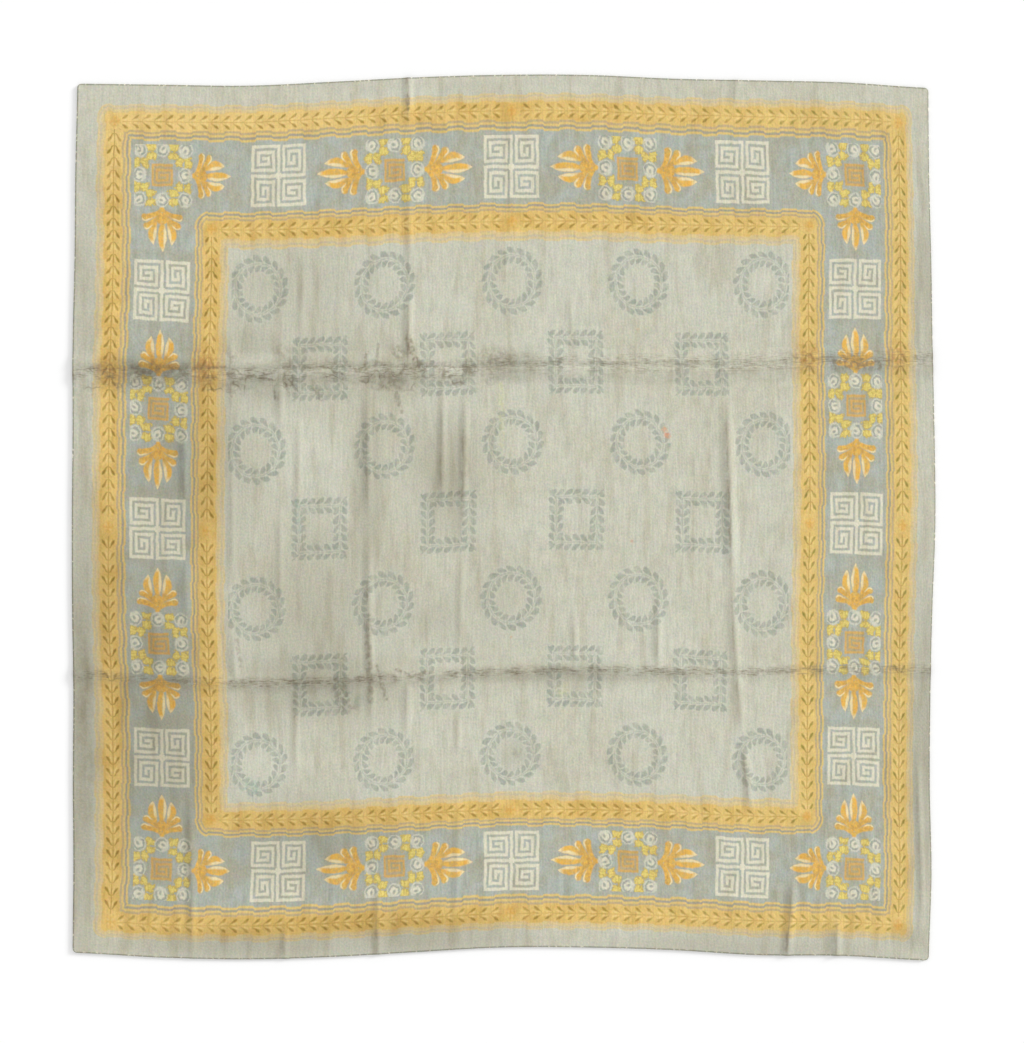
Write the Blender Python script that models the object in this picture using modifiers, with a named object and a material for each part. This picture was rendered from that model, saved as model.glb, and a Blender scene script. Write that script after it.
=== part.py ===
"""A nearly square hand-knotted pile carpet, lying on the floor.

The carpet is one sheet of knotted cloth. Its outline is a rectangle whose four edges swing in and
out a little, as hand weaving leaves them. It lies flat on the floor, but for two creases across it,
where it was once stored folded in three, and for the low folds that run down it.

The frame has its origin on the floor under the middle of the carpet, with +X to the right, +Y towards
the top edge and +Z up.
"""
import math
from collections import namedtuple

import bmesh
import bpy
from mathutils import Vector

MM = 0.001

# Driving sizes, in metres
CARPET_WIDTH = 4.40
CARPET_LENGTH = 4.50
CARPET_THICKNESS = 10 * MM

# The mesh has a line along the foot and the crest of each fold, and plain lines in between
LONGEST_COLUMN_STEP = 0.18
LONGEST_ROW_STEP = 0.14

# How far each edge stands outside the plain rectangle, in millimetres, at even steps along it.
# The top and bottom edges are read from left to right, the left and right ones from top to bottom.
EDGE_SWING = {
    "top": (-7, -12, -17, 3, 26, 39, 38, 19, 10, 0, -28),
    "bottom": (-21, 3, 13, 1, -24, -48, -48, -35, -9, -5, 19),
    "left": (-4, 6, 10, 20, 20, 24, 23, 16, 19, 16, 20),
    "right": (-16, -12, -1, 6, 16, 20, 4, -6, -9, 0, -14),
}

# Lines that the folds down the carpet lie on, from left to right. Each is a smooth curve through
# its x at the top edge, half-way down and at the bottom edge. All in millimetres from the middle.
FoldLine = namedtuple("FoldLine", "name x_top x_middle x_bottom half_width")
FOLD_LINES = (
    FoldLine("left_border", -1660, -1625, -1588, 34),
    FoldLine("field_edge", -1396, -1385, -1351, 32),
    FoldLine("left_field", -1122, -1141, -1110, 30),
    FoldLine("left_field_twin", -987, -1054, -1043, 30),
    FoldLine("left_long", -692, -691, -631, 34),
    FoldLine("top_mark", -490, -482, -507, 36),
    FoldLine("middle_pair_left", -278, -319, -333, 30),
    FoldLine("middle_pair_right", -170, -207, -241, 30),
    FoldLine("middle_right", 338, 360, 397, 32),
    FoldLine("right_short", 788, 792, 819, 34),
    FoldLine("right_long", 1206, 1155, 1385, 45),
    FoldLine("right_border", 1496, 1522, 1472, 38),
    FoldLine("right_corner", 1755, 1726, 1725, 34),
    FoldLine("right_margin", 2153, 2128, 2156, 28),
)

# Where the cloth stands up along those lines: the upper and lower end of each swelling and its
# height, in millimetres. The ends are measured from the middle of the carpet, up the carpet.
Swelling = namedtuple("Swelling", "line y_upper y_lower height")
SWELLINGS = (
    Swelling("left_border", 540, 40, 8),
    Swelling("left_border", -170, -630, 4),
    Swelling("left_border", -1310, -2330, 8),
    Swelling("field_edge", 990, 560, 6),
    Swelling("field_edge", 360, -370, 4),
    Swelling("field_edge", -570, -890, 5),
    Swelling("left_field", 980, 450, 7),
    Swelling("left_field", 180, -630, 4),
    Swelling("left_field", -2050, -2290, 5),
    Swelling("left_field_twin", 1340, 890, 3),
    Swelling("left_field_twin", 590, -110, 4),
    Swelling("left_field_twin", -830, -1400, 4),
    Swelling("left_long", 730, -70, 7),
    Swelling("left_long", 50, -1210, 8),
    Swelling("left_long", -1850, -2340, 7),
    Swelling("top_mark", 2380, 1970, 9),
    Swelling("top_mark", 1900, 1090, 4),
    Swelling("top_mark", 1180, 700, 10),
    Swelling("top_mark", -810, -1170, 5),
    Swelling("middle_pair_left", 680, 0, 7),
    Swelling("middle_pair_right", 670, -160, 8),
    Swelling("middle_pair_right", -120, -780, 4),
    Swelling("middle_pair_right", -980, -1270, 4),
    Swelling("middle_pair_right", -1420, -2200, 4),
    Swelling("middle_right", 1160, 870, 3),
    Swelling("middle_right", -500, -860, 5),
    Swelling("right_short", -400, -850, 7),
    Swelling("right_long", 2390, 2070, 5),
    Swelling("right_long", 700, -440, 13),
    Swelling("right_long", -220, -1170, 8),
    Swelling("right_long", -1130, -1550, 7),
    Swelling("right_border", -1810, -2340, 11),
    Swelling("right_corner", -2040, -2340, 8),
    Swelling("right_margin", 1250, 530, 3),
    Swelling("right_margin", -1030, -2210, 6),
)

# The creases across the carpet. Each runs through the y given at even steps from the left edge to the
# right one, and stands as high there as given. Its section is a list of offsets from its line
# and shares of its height. The upper one has two crests, a folded thickness apart.
Crease = namedtuple("Crease", "name y height section")
CREASES = (
    Crease(
        "upper",
        y=(773, 784, 746, 772, 836),
        height=(7, 14, 13, 9, 7),
        section=((95, 0.0), (24, 1.0), (0, 0.6), (-24, 1.0), (-95, 0.0)),
    ),
    Crease(
        "lower",
        y=(-808, -830, -828, -802, -753),
        height=(6, 9, 10, 7, 6),
        section=((65, 0.0), (0, 1.0), (-65, 0.0)),
    ),
)

# Colour of the pile seen as a whole: a pale grey green
PILE_COLOUR = (0.56, 0.56, 0.47, 1.0)
PILE_ROUGHNESS = 0.95


def remove_everything():
    """Remove the objects that the file opens with."""
    for thing in list(bpy.data.objects):
        bpy.data.objects.remove(thing, do_unlink=True)


def smooth_step(share):
    """Ease from 0 to 1."""
    share = min(max(share, 0.0), 1.0)
    return share * share * (3.0 - 2.0 * share)


def along_table(values, share):
    """Read a table of evenly spaced values at a share of its length, on a smooth curve through them."""
    last = len(values) - 1
    position = min(max(share, 0.0), 1.0) * last
    index = min(int(position), last - 1)
    t = position - index
    before = values[max(index - 1, 0)]
    start = values[index]
    end = values[index + 1]
    after = values[min(index + 2, last)]
    start_slope = (end - before) / 2.0
    end_slope = (after - start) / 2.0
    bend = 3.0 * (end - start) - 2.0 * start_slope - end_slope
    twist = 2.0 * (start - end) + start_slope + end_slope
    return start + t * (start_slope + t * (bend + t * twist))


def across_share(x):
    """Return how far across the plain rectangle an x is, from 0 at the left to 1 at the right."""
    return x / CARPET_WIDTH + 0.5


def down_share(y):
    """Return how far down the plain rectangle a y is, from 0 at the top to 1 at the bottom."""
    return 0.5 - y / CARPET_LENGTH


def on_outline(x, y):
    """Move a point of the plain rectangle to where the uneven outline carries it."""
    across = across_share(x)
    down = down_share(y)
    left = -CARPET_WIDTH / 2 - along_table(EDGE_SWING["left"], down) * MM
    right = CARPET_WIDTH / 2 + along_table(EDGE_SWING["right"], down) * MM
    top = CARPET_LENGTH / 2 + along_table(EDGE_SWING["top"], across) * MM
    bottom = -CARPET_LENGTH / 2 - along_table(EDGE_SWING["bottom"], across) * MM
    return left + (right - left) * across, top + (bottom - top) * down


def fold_line_x(line, y):
    """Return the x of a fold line's crest at a y, on the curve through its three places."""
    down = down_share(y)
    share_at_top = 2.0 * (down - 0.5) * (down - 1.0)
    share_at_middle = 4.0 * down * (1.0 - down)
    share_at_bottom = 2.0 * down * (down - 0.5)
    x = line.x_top * share_at_top + line.x_middle * share_at_middle + line.x_bottom * share_at_bottom
    return x * MM


def swelling_height(swelling, y):
    """Return how high a swelling stands at a y along its line: nothing at its ends, most between them."""
    share = (swelling.y_upper * MM - y) / ((swelling.y_upper - swelling.y_lower) * MM)
    if not 0.0 < share < 1.0:
        return 0.0
    return swelling.height * MM * smooth_step(3.0 * min(share, 1.0 - share))


def fold_height(x, y):
    """Return how far the folds lift the cloth at a point."""
    lift = 0.0
    for line in FOLD_LINES:
        half_width = line.half_width * MM
        side = abs(x - fold_line_x(line, y)) / half_width
        if side < 1.0:
            heights = [swelling_height(swelling, y) for swelling in SWELLINGS if swelling.line == line.name]
            lift = max(lift, max(heights) * (1.0 - smooth_step(side)))
    return lift


def crease_y(crease, x):
    """Return the y of a crease's line at an x."""
    return along_table(crease.y, across_share(x)) * MM


def crease_height(crease, x, y):
    """Return how far a crease lifts the cloth at a point, read from its section."""
    height = along_table(crease.height, across_share(x)) * MM
    offset = (y - crease_y(crease, x)) / MM
    for (upper, upper_share), (lower, lower_share) in zip(crease.section, crease.section[1:]):
        if lower <= offset <= upper:
            t = (upper - offset) / (upper - lower)
            return height * (upper_share + (lower_share - upper_share) * smooth_step(t))
    return 0.0


def cloth_height(x, y):
    """Return how high the underside of the carpet lies above the floor at a point."""
    creases = max(crease_height(crease, x, y) for crease in CREASES)
    return max(creases, fold_height(x, y))


def column_guides(y):
    """Return the x of the edges and of each fold line's feet and crest, from left to right, at a y."""
    guides = [-CARPET_WIDTH / 2]
    for line in FOLD_LINES:
        crest = fold_line_x(line, y)
        half_width = line.half_width * MM
        guides += [crest - half_width, crest, crest + half_width]
    guides.append(CARPET_WIDTH / 2)
    return guides


def row_guides(x):
    """Return the y of the edges and of each point of the creases' sections, from the bottom up, at an x."""
    guides = [-CARPET_LENGTH / 2]
    for crease in reversed(CREASES):
        guides += [crease_y(crease, x) + offset * MM for offset, share in reversed(crease.section)]
    guides.append(CARPET_LENGTH / 2)
    return guides


def steps_between(guides, longest_step):
    """Return how many even steps each gap between guides takes, none of them over the longest step."""
    return [math.ceil((end - start) / longest_step) for start, end in zip(guides, guides[1:])]


def mesh_lines(guides, steps):
    """Return the guides with evenly spaced lines put in between them."""
    lines = [guides[0]]
    for start, end, count in zip(guides, guides[1:], steps):
        lines += [start + (end - start) * number / count for number in range(1, count + 1)]
    return lines


def place_grid(cloth):
    """Move the points of a 2 m square grid to the carpet's outline and folds."""
    column_steps = steps_between(column_guides(0.0), LONGEST_COLUMN_STEP)
    row_steps = steps_between(row_guides(0.0), LONGEST_ROW_STEP)
    columns = sum(column_steps)
    rows = sum(row_steps)
    middle_columns = mesh_lines(column_guides(0.0), column_steps)
    bmesh.ops.create_grid(cloth, x_segments=columns, y_segments=rows, size=1.0)
    for point in cloth.verts:
        column = round((point.co.x + 1.0) / 2.0 * columns)
        row = round((point.co.y + 1.0) / 2.0 * rows)
        y = mesh_lines(row_guides(middle_columns[column]), row_steps)[row]
        x = mesh_lines(column_guides(y), column_steps)[column]
        point.co = Vector((*on_outline(x, y), cloth_height(x, y)))


def centre_on_origin(cloth):
    """Move the cloth so that the middle of its outline's box stands on the origin."""
    xs = [point.co.x for point in cloth.verts]
    ys = [point.co.y for point in cloth.verts]
    middle = Vector(((min(xs) + max(xs)) / 2, (min(ys) + max(ys)) / 2, 0.0))
    bmesh.ops.translate(cloth, verts=cloth.verts, vec=-middle)


def pile_material():
    """Return the carpet's plain material."""
    material = bpy.data.materials.new("wool_pile")
    material.use_nodes = True
    shader = material.node_tree.nodes["Principled BSDF"]
    shader.inputs["Base Color"].default_value = PILE_COLOUR
    shader.inputs["Roughness"].default_value = PILE_ROUGHNESS
    shader.inputs["Metallic"].default_value = 0.0
    return material


def make_carpet(collection):
    """Make the carpet: its underside as an open sheet, and its thickness above that."""
    cloth = bmesh.new()
    place_grid(cloth)
    centre_on_origin(cloth)
    mesh = bpy.data.meshes.new("carpet")
    cloth.to_mesh(mesh)
    cloth.free()
    mesh.materials.append(pile_material())
    carpet = bpy.data.objects.new("carpet", mesh)
    collection.objects.link(carpet)
    thickness = carpet.modifiers.new("thickness", "SOLIDIFY")
    thickness.thickness = CARPET_THICKNESS
    thickness.offset = 1.0
    mesh.shade_smooth()
    return carpet


def main():
    remove_everything()
    collection = bpy.data.collections.new("savonnerie_carpet")
    bpy.context.scene.collection.children.link(collection)
    make_carpet(collection)


main()
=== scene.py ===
"""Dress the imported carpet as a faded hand-knotted Savonnerie carpet, laid out and seen from above.

The carpet is one closed sheet of knotted wool. Its pattern is drawn in knots: a plain margin, a gold
laurel band, a border of rose squares, palmettes and Greek keys, a second laurel band, and a field of
round and square laurel wreaths. The whole pattern is counted from the middle of the carpet.
"""
import math
from collections import namedtuple

import bpy
import numpy as np
from bpy.props import FloatProperty, FloatVectorProperty, PointerProperty
from bpy.types import Operator, Panel, PropertyGroup
from mathutils import Color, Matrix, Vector


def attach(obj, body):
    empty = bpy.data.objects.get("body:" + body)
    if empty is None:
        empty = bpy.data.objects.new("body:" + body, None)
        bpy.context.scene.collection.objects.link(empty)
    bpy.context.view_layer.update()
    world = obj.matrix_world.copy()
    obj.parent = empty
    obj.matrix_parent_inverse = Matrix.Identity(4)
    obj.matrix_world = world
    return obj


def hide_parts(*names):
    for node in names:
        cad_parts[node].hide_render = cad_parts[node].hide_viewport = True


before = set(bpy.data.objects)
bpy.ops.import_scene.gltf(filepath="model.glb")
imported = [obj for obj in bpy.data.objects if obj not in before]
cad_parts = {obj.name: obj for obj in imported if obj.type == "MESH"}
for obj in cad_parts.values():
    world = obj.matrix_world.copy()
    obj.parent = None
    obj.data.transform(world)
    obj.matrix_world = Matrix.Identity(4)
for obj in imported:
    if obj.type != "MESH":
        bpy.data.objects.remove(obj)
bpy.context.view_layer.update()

bl_info = {
    "name": "Savonnerie Carpet",
    "version": (1, 0, 0),
    "blender": (4, 5, 0),
    "location": "3D View > Sidebar > Carpet",
    "description": "Knots a faded neoclassical pile carpet around a packed model",
    "category": "Add Mesh",
}

MM = 0.001

# The sheet, in metres, with one knot's width and height
CARPET_WIDTH = 4.40
CARPET_LENGTH = 4.50
KNOT_WIDTH = 4.8 * MM
KNOT_HEIGHT = 5.25 * MM
HALF_COLUMNS = CARPET_WIDTH / 2 / KNOT_WIDTH
HALF_ROWS = CARPET_LENGTH / 2 / KNOT_HEIGHT

# How far each edge stands outside the plain rectangle, in millimetres, at even steps along it.
# The top and bottom edges are read from left to right, the left and right ones from top to bottom.
EDGE_SWING = {
    "top": (-7, -12, -17, 3, 26, 39, 38, 19, 10, 0, -28),
    "bottom": (-21, 3, 13, 1, -24, -48, -48, -35, -9, -5, 19),
    "left": (-4, 6, 10, 20, 20, 24, 23, 16, 19, 16, 20),
    "right": (-16, -12, -1, 6, 16, 20, 4, -6, -9, 0, -14),
}

# The folds down the carpet, from left to right. Each lies on a smooth curve through its x at the top
# edge, half-way down and at the bottom edge. Where the cloth stands up along it there is a swelling,
# with its upper and lower end and its height. All in millimetres from the middle, up the carpet.
FoldLine = namedtuple("FoldLine", "name x_top x_middle x_bottom half_width swellings")
Swelling = namedtuple("Swelling", "y_upper y_lower height")
FOLD_LINES = (
    FoldLine(
        "left_border", -1660, -1625, -1588, 34,
        ((540, 40, 8), (-170, -630, 4), (-1310, -2330, 8)),
    ),
    FoldLine("field_edge", -1396, -1385, -1351, 32, ((990, 560, 6), (360, -370, 4), (-570, -890, 5))),
    FoldLine("left_field", -1122, -1141, -1110, 30, ((980, 450, 7), (180, -630, 4), (-2050, -2290, 5))),
    FoldLine(
        "left_field_twin", -987, -1054, -1043, 30,
        ((1340, 890, 3), (590, -110, 4), (-830, -1400, 4)),
    ),
    FoldLine("left_long", -692, -691, -631, 34, ((730, -70, 7), (50, -1210, 8), (-1850, -2340, 7))),
    FoldLine(
        "top_mark", -490, -482, -507, 36,
        ((2380, 1970, 9), (1900, 1090, 4), (1180, 700, 10), (-810, -1170, 5)),
    ),
    FoldLine("middle_pair_left", -278, -319, -333, 30, ((680, 0, 7),)),
    FoldLine(
        "middle_pair_right", -170, -207, -241, 30,
        ((670, -160, 8), (-120, -780, 4), (-980, -1270, 4), (-1420, -2200, 4)),
    ),
    FoldLine("middle_right", 338, 360, 397, 32, ((1160, 870, 3), (-500, -860, 5))),
    FoldLine("right_short", 788, 792, 819, 34, ((-400, -850, 7),)),
    FoldLine(
        "right_long", 1206, 1155, 1385, 45,
        ((2390, 2070, 5), (700, -440, 13), (-220, -1170, 8), (-1130, -1550, 7)),
    ),
    FoldLine("right_border", 1496, 1522, 1472, 38, ((-1810, -2340, 11),)),
    FoldLine("right_corner", 1755, 1726, 1725, 34, ((-2040, -2340, 8),)),
    FoldLine("right_margin", 2153, 2128, 2156, 28, ((1250, 530, 3), (-1030, -2210, 6))),
)

# The creases across the carpet. Each runs through the y given at even steps from the left edge to the
# right one, and stands as high there as given. Its section is a list of offsets from its line
# and shares of its height. The upper one has two crests, a folded thickness apart.
Crease = namedtuple("Crease", "name y height section")
CREASES = (
    Crease(
        "upper",
        y=(773, 784, 746, 772, 836),
        height=(7, 14, 13, 9, 7),
        section=((95, 0.0), (24, 1.0), (0, 0.6), (-24, 1.0), (-95, 0.0)),
    ),
    Crease(
        "lower",
        y=(-808, -830, -828, -802, -753),
        height=(6, 9, 10, 7, 6),
        section=((65, 0.0), (0, 1.0), (-65, 0.0)),
    ),
)

# How the weaver's pattern strays from an even one, in millimetres: it bulges to the right half-way
# across, its columns spread a little, and its rows sink by these amounts, read at even steps from
# above the top edge to below the bottom edge, down three lines: left, middle and right. The bands down
# the left and right sides are shifted to the right by these amounts, read from the top to the bottom.
# How far up and down the sinks reach, how far out their side lines are and how wide the unmoved edges
# are is in metres.
BULGE_TO_RIGHT = 47
BULGE_POWER = 0.75
COLUMN_SPREAD = 0.0136
SINK_REACH = 2.4
SINK_LINE_X = 1.78
SINK_FADE = 0.2
ROW_SINK = {
    "left": (8, -6, -4, -17, -42, -35, -27, -4, -50),
    "middle": (30, -15, -32, -50, -45, -40, -35, -10, -30),
    "right": (35, -17, -4, -12, -20, -38, -25, -10, -28),
}
SIDE_SHIFT = {
    "left": (18, 16, 18, 4, 4, 8, 24, 22, 6),
    "right": (-4, 6, -4, -8, -10, -4, 0, -4, -4),
}

# The laurel bands, in knots from the carpet's edge: where each starts, its gold, its stem, its end and
# how round its corners are. The lines on the side of the plain wool are faded, but less so above the
# band's upper rows, which are counted from the middle.
Band = namedtuple("Band", "name start gold stem end rounding plain_side_out upper_rows")
OUTER_BAND = Band("outer_gold_band", 20.0, (27.5, 45.2), 36.4, 54.0, 12.0, True, (300.0, 390.0))
INNER_BAND = Band("inner_gold_band", 122.0, (130.0, 148.5), 139.2, 157.5, 17.0, False, (220.0, 290.0))

# The border's other parts, in knots from the carpet's edge
MARGIN_END = 12.0
GROUND_START = 58.0
MOTIF_LINE = 87.5
GROUND_END = 118.5
FIELD_START = 161.0

# The bands' edges step in and out together, over this many knots, this much more steeply than a plain
# wave. Down the sides a step's depth is this share of that along the top and the bottom.
WAVE_LENGTH = 34.0
WAVE_STEEPNESS = 6.0
WAVE_SHARE_DOWN = 0.7

# How strong the tan of a band's faded side still is beside the gold, and the columns over which the
# gold turns brighter and over which the outer band's pale part at the top left ends
TAN_BESIDE_GOLD = 0.95
BRIGHTER_COLUMNS = (120.0, 330.0)
PALER_COLUMNS = (-200.0, -60.0)

# How far the drawing strays in each part, in knots
BAND_STRAY = 0.9
BORDER_STRAY = 1.2
FIELD_STRAY = 1.7

# The bands' rosettes, in knots: how far off the laurel stops, their hearts, and where their four
# petals lie and how large they are
ROSETTE_CLEARANCE = 9.0
ROSETTE_HEART = 4.8
ROSETTE_PETAL = (2.2, 2.3)
ROSETTE_PETAL_SIZE = 1.4

# The border's motifs: the keys and rose squares stand at thirds of each half side. A key's unit and a
# spiral's are this many knots wide and tall. The middle of a spiral is in its own units, and its
# ground and the leaf pairs' place inwards are in knots. The noises of two rose squares and their
# roses' turns are read this far apart, so that the squares differ. A palmette down the sides, or along
# the top or bottom next to a corner, has this share of its full size.
MOTIF_COLUMNS = (HALF_COLUMNS - MOTIF_LINE) / 3
MOTIF_ROWS = (HALF_ROWS - MOTIF_LINE) / 3
KEY_UNIT = (2.76, 2.79)
SPIRAL_UNIT = (2.2, 2.38)
SPIRAL_MIDDLE = (4.5, 4.0)
SPIRAL_GROUND = (10.4, 10.4)
LEAVES_INWARDS = 1.6
SQUARES_APART = 90.0
ROSES_APART = 7.0
PALMETTE_SHARE_DOWN = 0.87
PALMETTE_SHARE_IN_CORNERS = 0.8

# The rose squares' leaf pairs and roses, in knots: how far a leaf's middle is from its pair's and how
# large it is, the pale heart of a rose, the crescent round it, and the eye beside its middle
LEAF_ASIDE = 4.2
LEAF_SIZE = 4.1
ROSE_HEART = 3.8
CRESCENT_RADIUS = 4.9
CRESCENT_HALF_WIDTH = 1.05
ROSE_EYE = (1.2, 0.5)
ROSE_EYE_SIZE = 1.3

# The field's wreaths, in knots: how far apart their centres are, how large the stems' shapes are, how
# far outside its stem a round wreath may reach, and how long and how plump their leaves are
WREATH_COLUMNS = 134.5
WREATH_ROWS = 154.8
ROUND_LEAF_PAIRS = 18
ROUND_TALLER = 1.09
SQUARE_STEM = (21.6, 22.8)
SQUARE_LEAF_PITCH = 8.6
ROUND_WREATH_MARGIN = 12.0
WREATH_LEAF_STRETCH = 0.95
WREATH_LEAF_PLUMP = 1.2

# One arm of the Greek key in its own units, from the key's centre outwards, and the square spiral in
# the middle of each rose square, from its outer end inwards
KEY_ARM = ((0, 0), (0, 10), (10, 10), (10, 2), (2, 2), (2, 8), (8, 8), (8, 4), (4, 4), (4, 6), (6, 6))
KEY_LINE = 0.55
SPIRAL = ((9, 0), (0, 0), (0, 8), (9, 8), (9, 2), (2, 2), (2, 6), (7, 6), (7, 4), (4, 4))
SPIRAL_LINE = 0.5

# The mesh, in knots
COLUMN_STEP = 7.0
ROW_STEP = 7.0
FINE_COLUMN_STEP = 2.2
FINE_ROW_STEP = 1.7
CORNER_STEPS = (0.0, 1.2, 2.6, 4.6)
SPARE_STEP = 0.05

# At how many places a curve is read where no formula turns it round
FINE_READINGS = 400
COARSE_READINGS = 25

KNOT_MAP = "Knots"
BAKE_MAP = "OFBake"
FOLD_SHADE_AND_WEAR = "fold_wear"
CREASE_WEAR = "crease_wear"


def smooth_step(share):
    """Ease from 0 to 1."""
    share = np.clip(share, 0.0, 1.0)
    return share * share * (3.0 - 2.0 * share)


def along_table(values, share):
    """Read a table of evenly spaced values at shares of its length, on a smooth curve through them."""
    values = np.asarray(values, dtype=float)
    last = len(values) - 1
    position = np.clip(share, 0.0, 1.0) * last
    index = np.minimum(position.astype(int), last - 1)
    t = position - index
    before = values[np.maximum(index - 1, 0)]
    start = values[index]
    end = values[index + 1]
    after = values[np.minimum(index + 2, last)]
    start_slope = (end - before) / 2.0
    end_slope = (after - start) / 2.0
    bend = 3.0 * (end - start) - 2.0 * start_slope - end_slope
    twist = 2.0 * (start - end) + start_slope + end_slope
    return start + t * (start_slope + t * (bend + t * twist))


def across_share(x):
    """Return how far across the plain rectangle an x is, from 0 at the left to 1 at the right."""
    return x / CARPET_WIDTH + 0.5


def down_share(y):
    """Return how far down the plain rectangle a y is, from 0 at the top to 1 at the bottom."""
    return 0.5 - y / CARPET_LENGTH


def on_outline(x, y):
    """Move points of the plain rectangle to where the uneven outline carries them."""
    across = across_share(x)
    down = down_share(y)
    left = -CARPET_WIDTH / 2 - along_table(EDGE_SWING["left"], down) * MM
    right = CARPET_WIDTH / 2 + along_table(EDGE_SWING["right"], down) * MM
    top = CARPET_LENGTH / 2 + along_table(EDGE_SWING["top"], across) * MM
    bottom = -CARPET_LENGTH / 2 - along_table(EDGE_SWING["bottom"], across) * MM
    return left + (right - left) * across, top + (bottom - top) * down


def in_outline(x, y):
    """Return the points of the plain rectangle that the outline carries to these places."""
    plain_x = x
    plain_y = y
    for _ in range(3):
        carried_x, carried_y = on_outline(plain_x, plain_y)
        plain_x = plain_x + x - carried_x
        plain_y = plain_y + y - carried_y
    return plain_x, plain_y


def through_three(share, first, middle, last):
    """Read the curve through three values, at 0, a half and 1."""
    at_first = 2.0 * (share - 0.5) * (share - 1.0)
    at_middle = 4.0 * share * (1.0 - share)
    at_last = 2.0 * share * (share - 0.5)
    return first * at_first + middle * at_middle + last * at_last


def fold_line_x(line, y):
    """Return the x of a fold line's crest at a y, on the curve through its three places."""
    return through_three(down_share(y), line.x_top, line.x_middle, line.x_bottom) * MM


def swelling_share(swelling, y):
    """Return how much of its height a swelling has at a y along its line."""
    share = (swelling.y_upper * MM - y) / ((swelling.y_upper - swelling.y_lower) * MM)
    return smooth_step(3.0 * np.minimum(share, 1.0 - share))


def fold_height(x, y):
    """Return how far the folds lift the cloth at points."""
    lift = np.zeros_like(x)
    for line in FOLD_LINES:
        side = np.abs(x - fold_line_x(line, y)) / (line.half_width * MM)
        crest = np.zeros_like(x)
        for swelling in map(Swelling._make, line.swellings):
            crest = np.maximum(crest, swelling.height * MM * swelling_share(swelling, y))
        lift = np.maximum(lift, crest * (1.0 - smooth_step(side)))
    return lift


def crease_y(crease, x):
    """Return the y of a crease's line at an x."""
    return along_table(crease.y, across_share(x)) * MM


def crease_height(crease, x, y):
    """Return how far a crease lifts the cloth at points, read from its section."""
    height = along_table(crease.height, across_share(x)) * MM
    offset = (y - crease_y(crease, x)) / MM
    share = np.zeros_like(x)
    for (upper, upper_share), (lower, lower_share) in zip(crease.section, crease.section[1:]):
        t = smooth_step((upper - offset) / (upper - lower))
        inside = (offset <= upper) & (offset > lower)
        share = np.where(inside, upper_share + (lower_share - upper_share) * t, share)
    return height * share


def cloth_height(x, y):
    """Return how high the underside of the carpet lies above the floor at points."""
    lift = fold_height(x, y)
    for crease in CREASES:
        lift = np.maximum(lift, crease_height(crease, x, y))
    return lift


def strayed(column, row):
    """Return where the knots at a column and a row lie on the plain rectangle."""
    half_width = CARPET_WIDTH / 2
    half_length = CARPET_LENGTH / 2
    share = column / HALF_COLUMNS
    x = half_width * (share + COLUMN_SPREAD * share * (1.0 - share * share))
    bulge = np.clip(1.0 - (x / half_width) ** 2, 0.0, 1.0) ** BULGE_POWER
    x = x + BULGE_TO_RIGHT * MM * bulge
    down = 0.5 - row / HALF_ROWS / 2
    for side, sign in (("left", -1), ("right", 1)):
        reach = np.clip(sign * share * HALF_COLUMNS / (HALF_COLUMNS - INNER_BAND.stem), 0.0, 1.0)
        fade = smooth_step((half_width - np.abs(x)) / SINK_FADE)
        x = x + along_table(SIDE_SHIFT[side], down) * MM * reach * reach * fade
    y = half_length * row / HALF_ROWS
    down = 0.5 - y / (2 * SINK_REACH)
    sinks = [along_table(ROW_SINK[line], down) for line in ("left", "middle", "right")]
    sink = through_three(x / (2 * SINK_LINE_X) + 0.5, *sinks)
    fade = smooth_step((half_length - np.abs(y)) / SINK_FADE)
    return x, y + sink * MM * fade


def column_of(x):
    """Return the column whose knots lie at an x."""
    columns = np.linspace(-HALF_COLUMNS, HALF_COLUMNS, FINE_READINGS)
    return np.interp(x, strayed(columns, np.zeros_like(columns))[0], columns)


def row_of(column, y):
    """Return the row whose knots lie at a y down one column."""
    rows = np.linspace(-HALF_ROWS, HALF_ROWS, FINE_READINGS)
    return np.interp(y, strayed(np.full_like(rows, column), rows)[1], rows)


def fold_column_ranges():
    """Return the stretches of columns that the folds down the carpet wander over."""
    ranges = []
    for line in FOLD_LINES:
        y = np.linspace(-CARPET_LENGTH / 2, CARPET_LENGTH / 2, COARSE_READINGS)
        x = fold_line_x(line, y)
        reach = line.half_width * MM
        ranges.append((column_of(x.min() - reach), column_of(x.max() + reach)))
    return ranges


def crease_row_ranges():
    """Return the stretches of rows that the creases across the carpet wander over."""
    ranges = []
    for crease in CREASES:
        reach = crease.section[0][0] * MM
        rows = []
        for column in np.linspace(-HALF_COLUMNS, HALF_COLUMNS, COARSE_READINGS):
            x = strayed(np.array([column]), np.zeros(1))[0]
            y = crease_y(crease, x)[0]
            rows += [row_of(column, y - reach), row_of(column, y + reach)]
        ranges.append((min(rows), max(rows)))
    return ranges


def mesh_lines(half, step, fine_step, fine_ranges):
    """Return the mesh's lines in knots, from edge to edge: fine over some stretches, and one line
    on each side of every part of the border."""
    ends = (MARGIN_END, GROUND_START, GROUND_END, FIELD_START) + CORNER_STEPS
    guides = {sign * (half - end) for end in ends for sign in (-1, 1)}
    for start, end in fine_ranges:
        guides |= {max(start, -half), min(end, half)}
    guides = sorted(guides)
    lines = [guides[0]]
    for start, end in zip(guides, guides[1:]):
        middle = (start + end) / 2
        fine = any(low <= middle <= high for low, high in fine_ranges)
        count = max(1, math.ceil((end - start) / (fine_step if fine else step) - SPARE_STEP))
        lines += [start + (end - start) * number / count for number in range(1, count + 1)]
    return np.array(lines)


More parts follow.
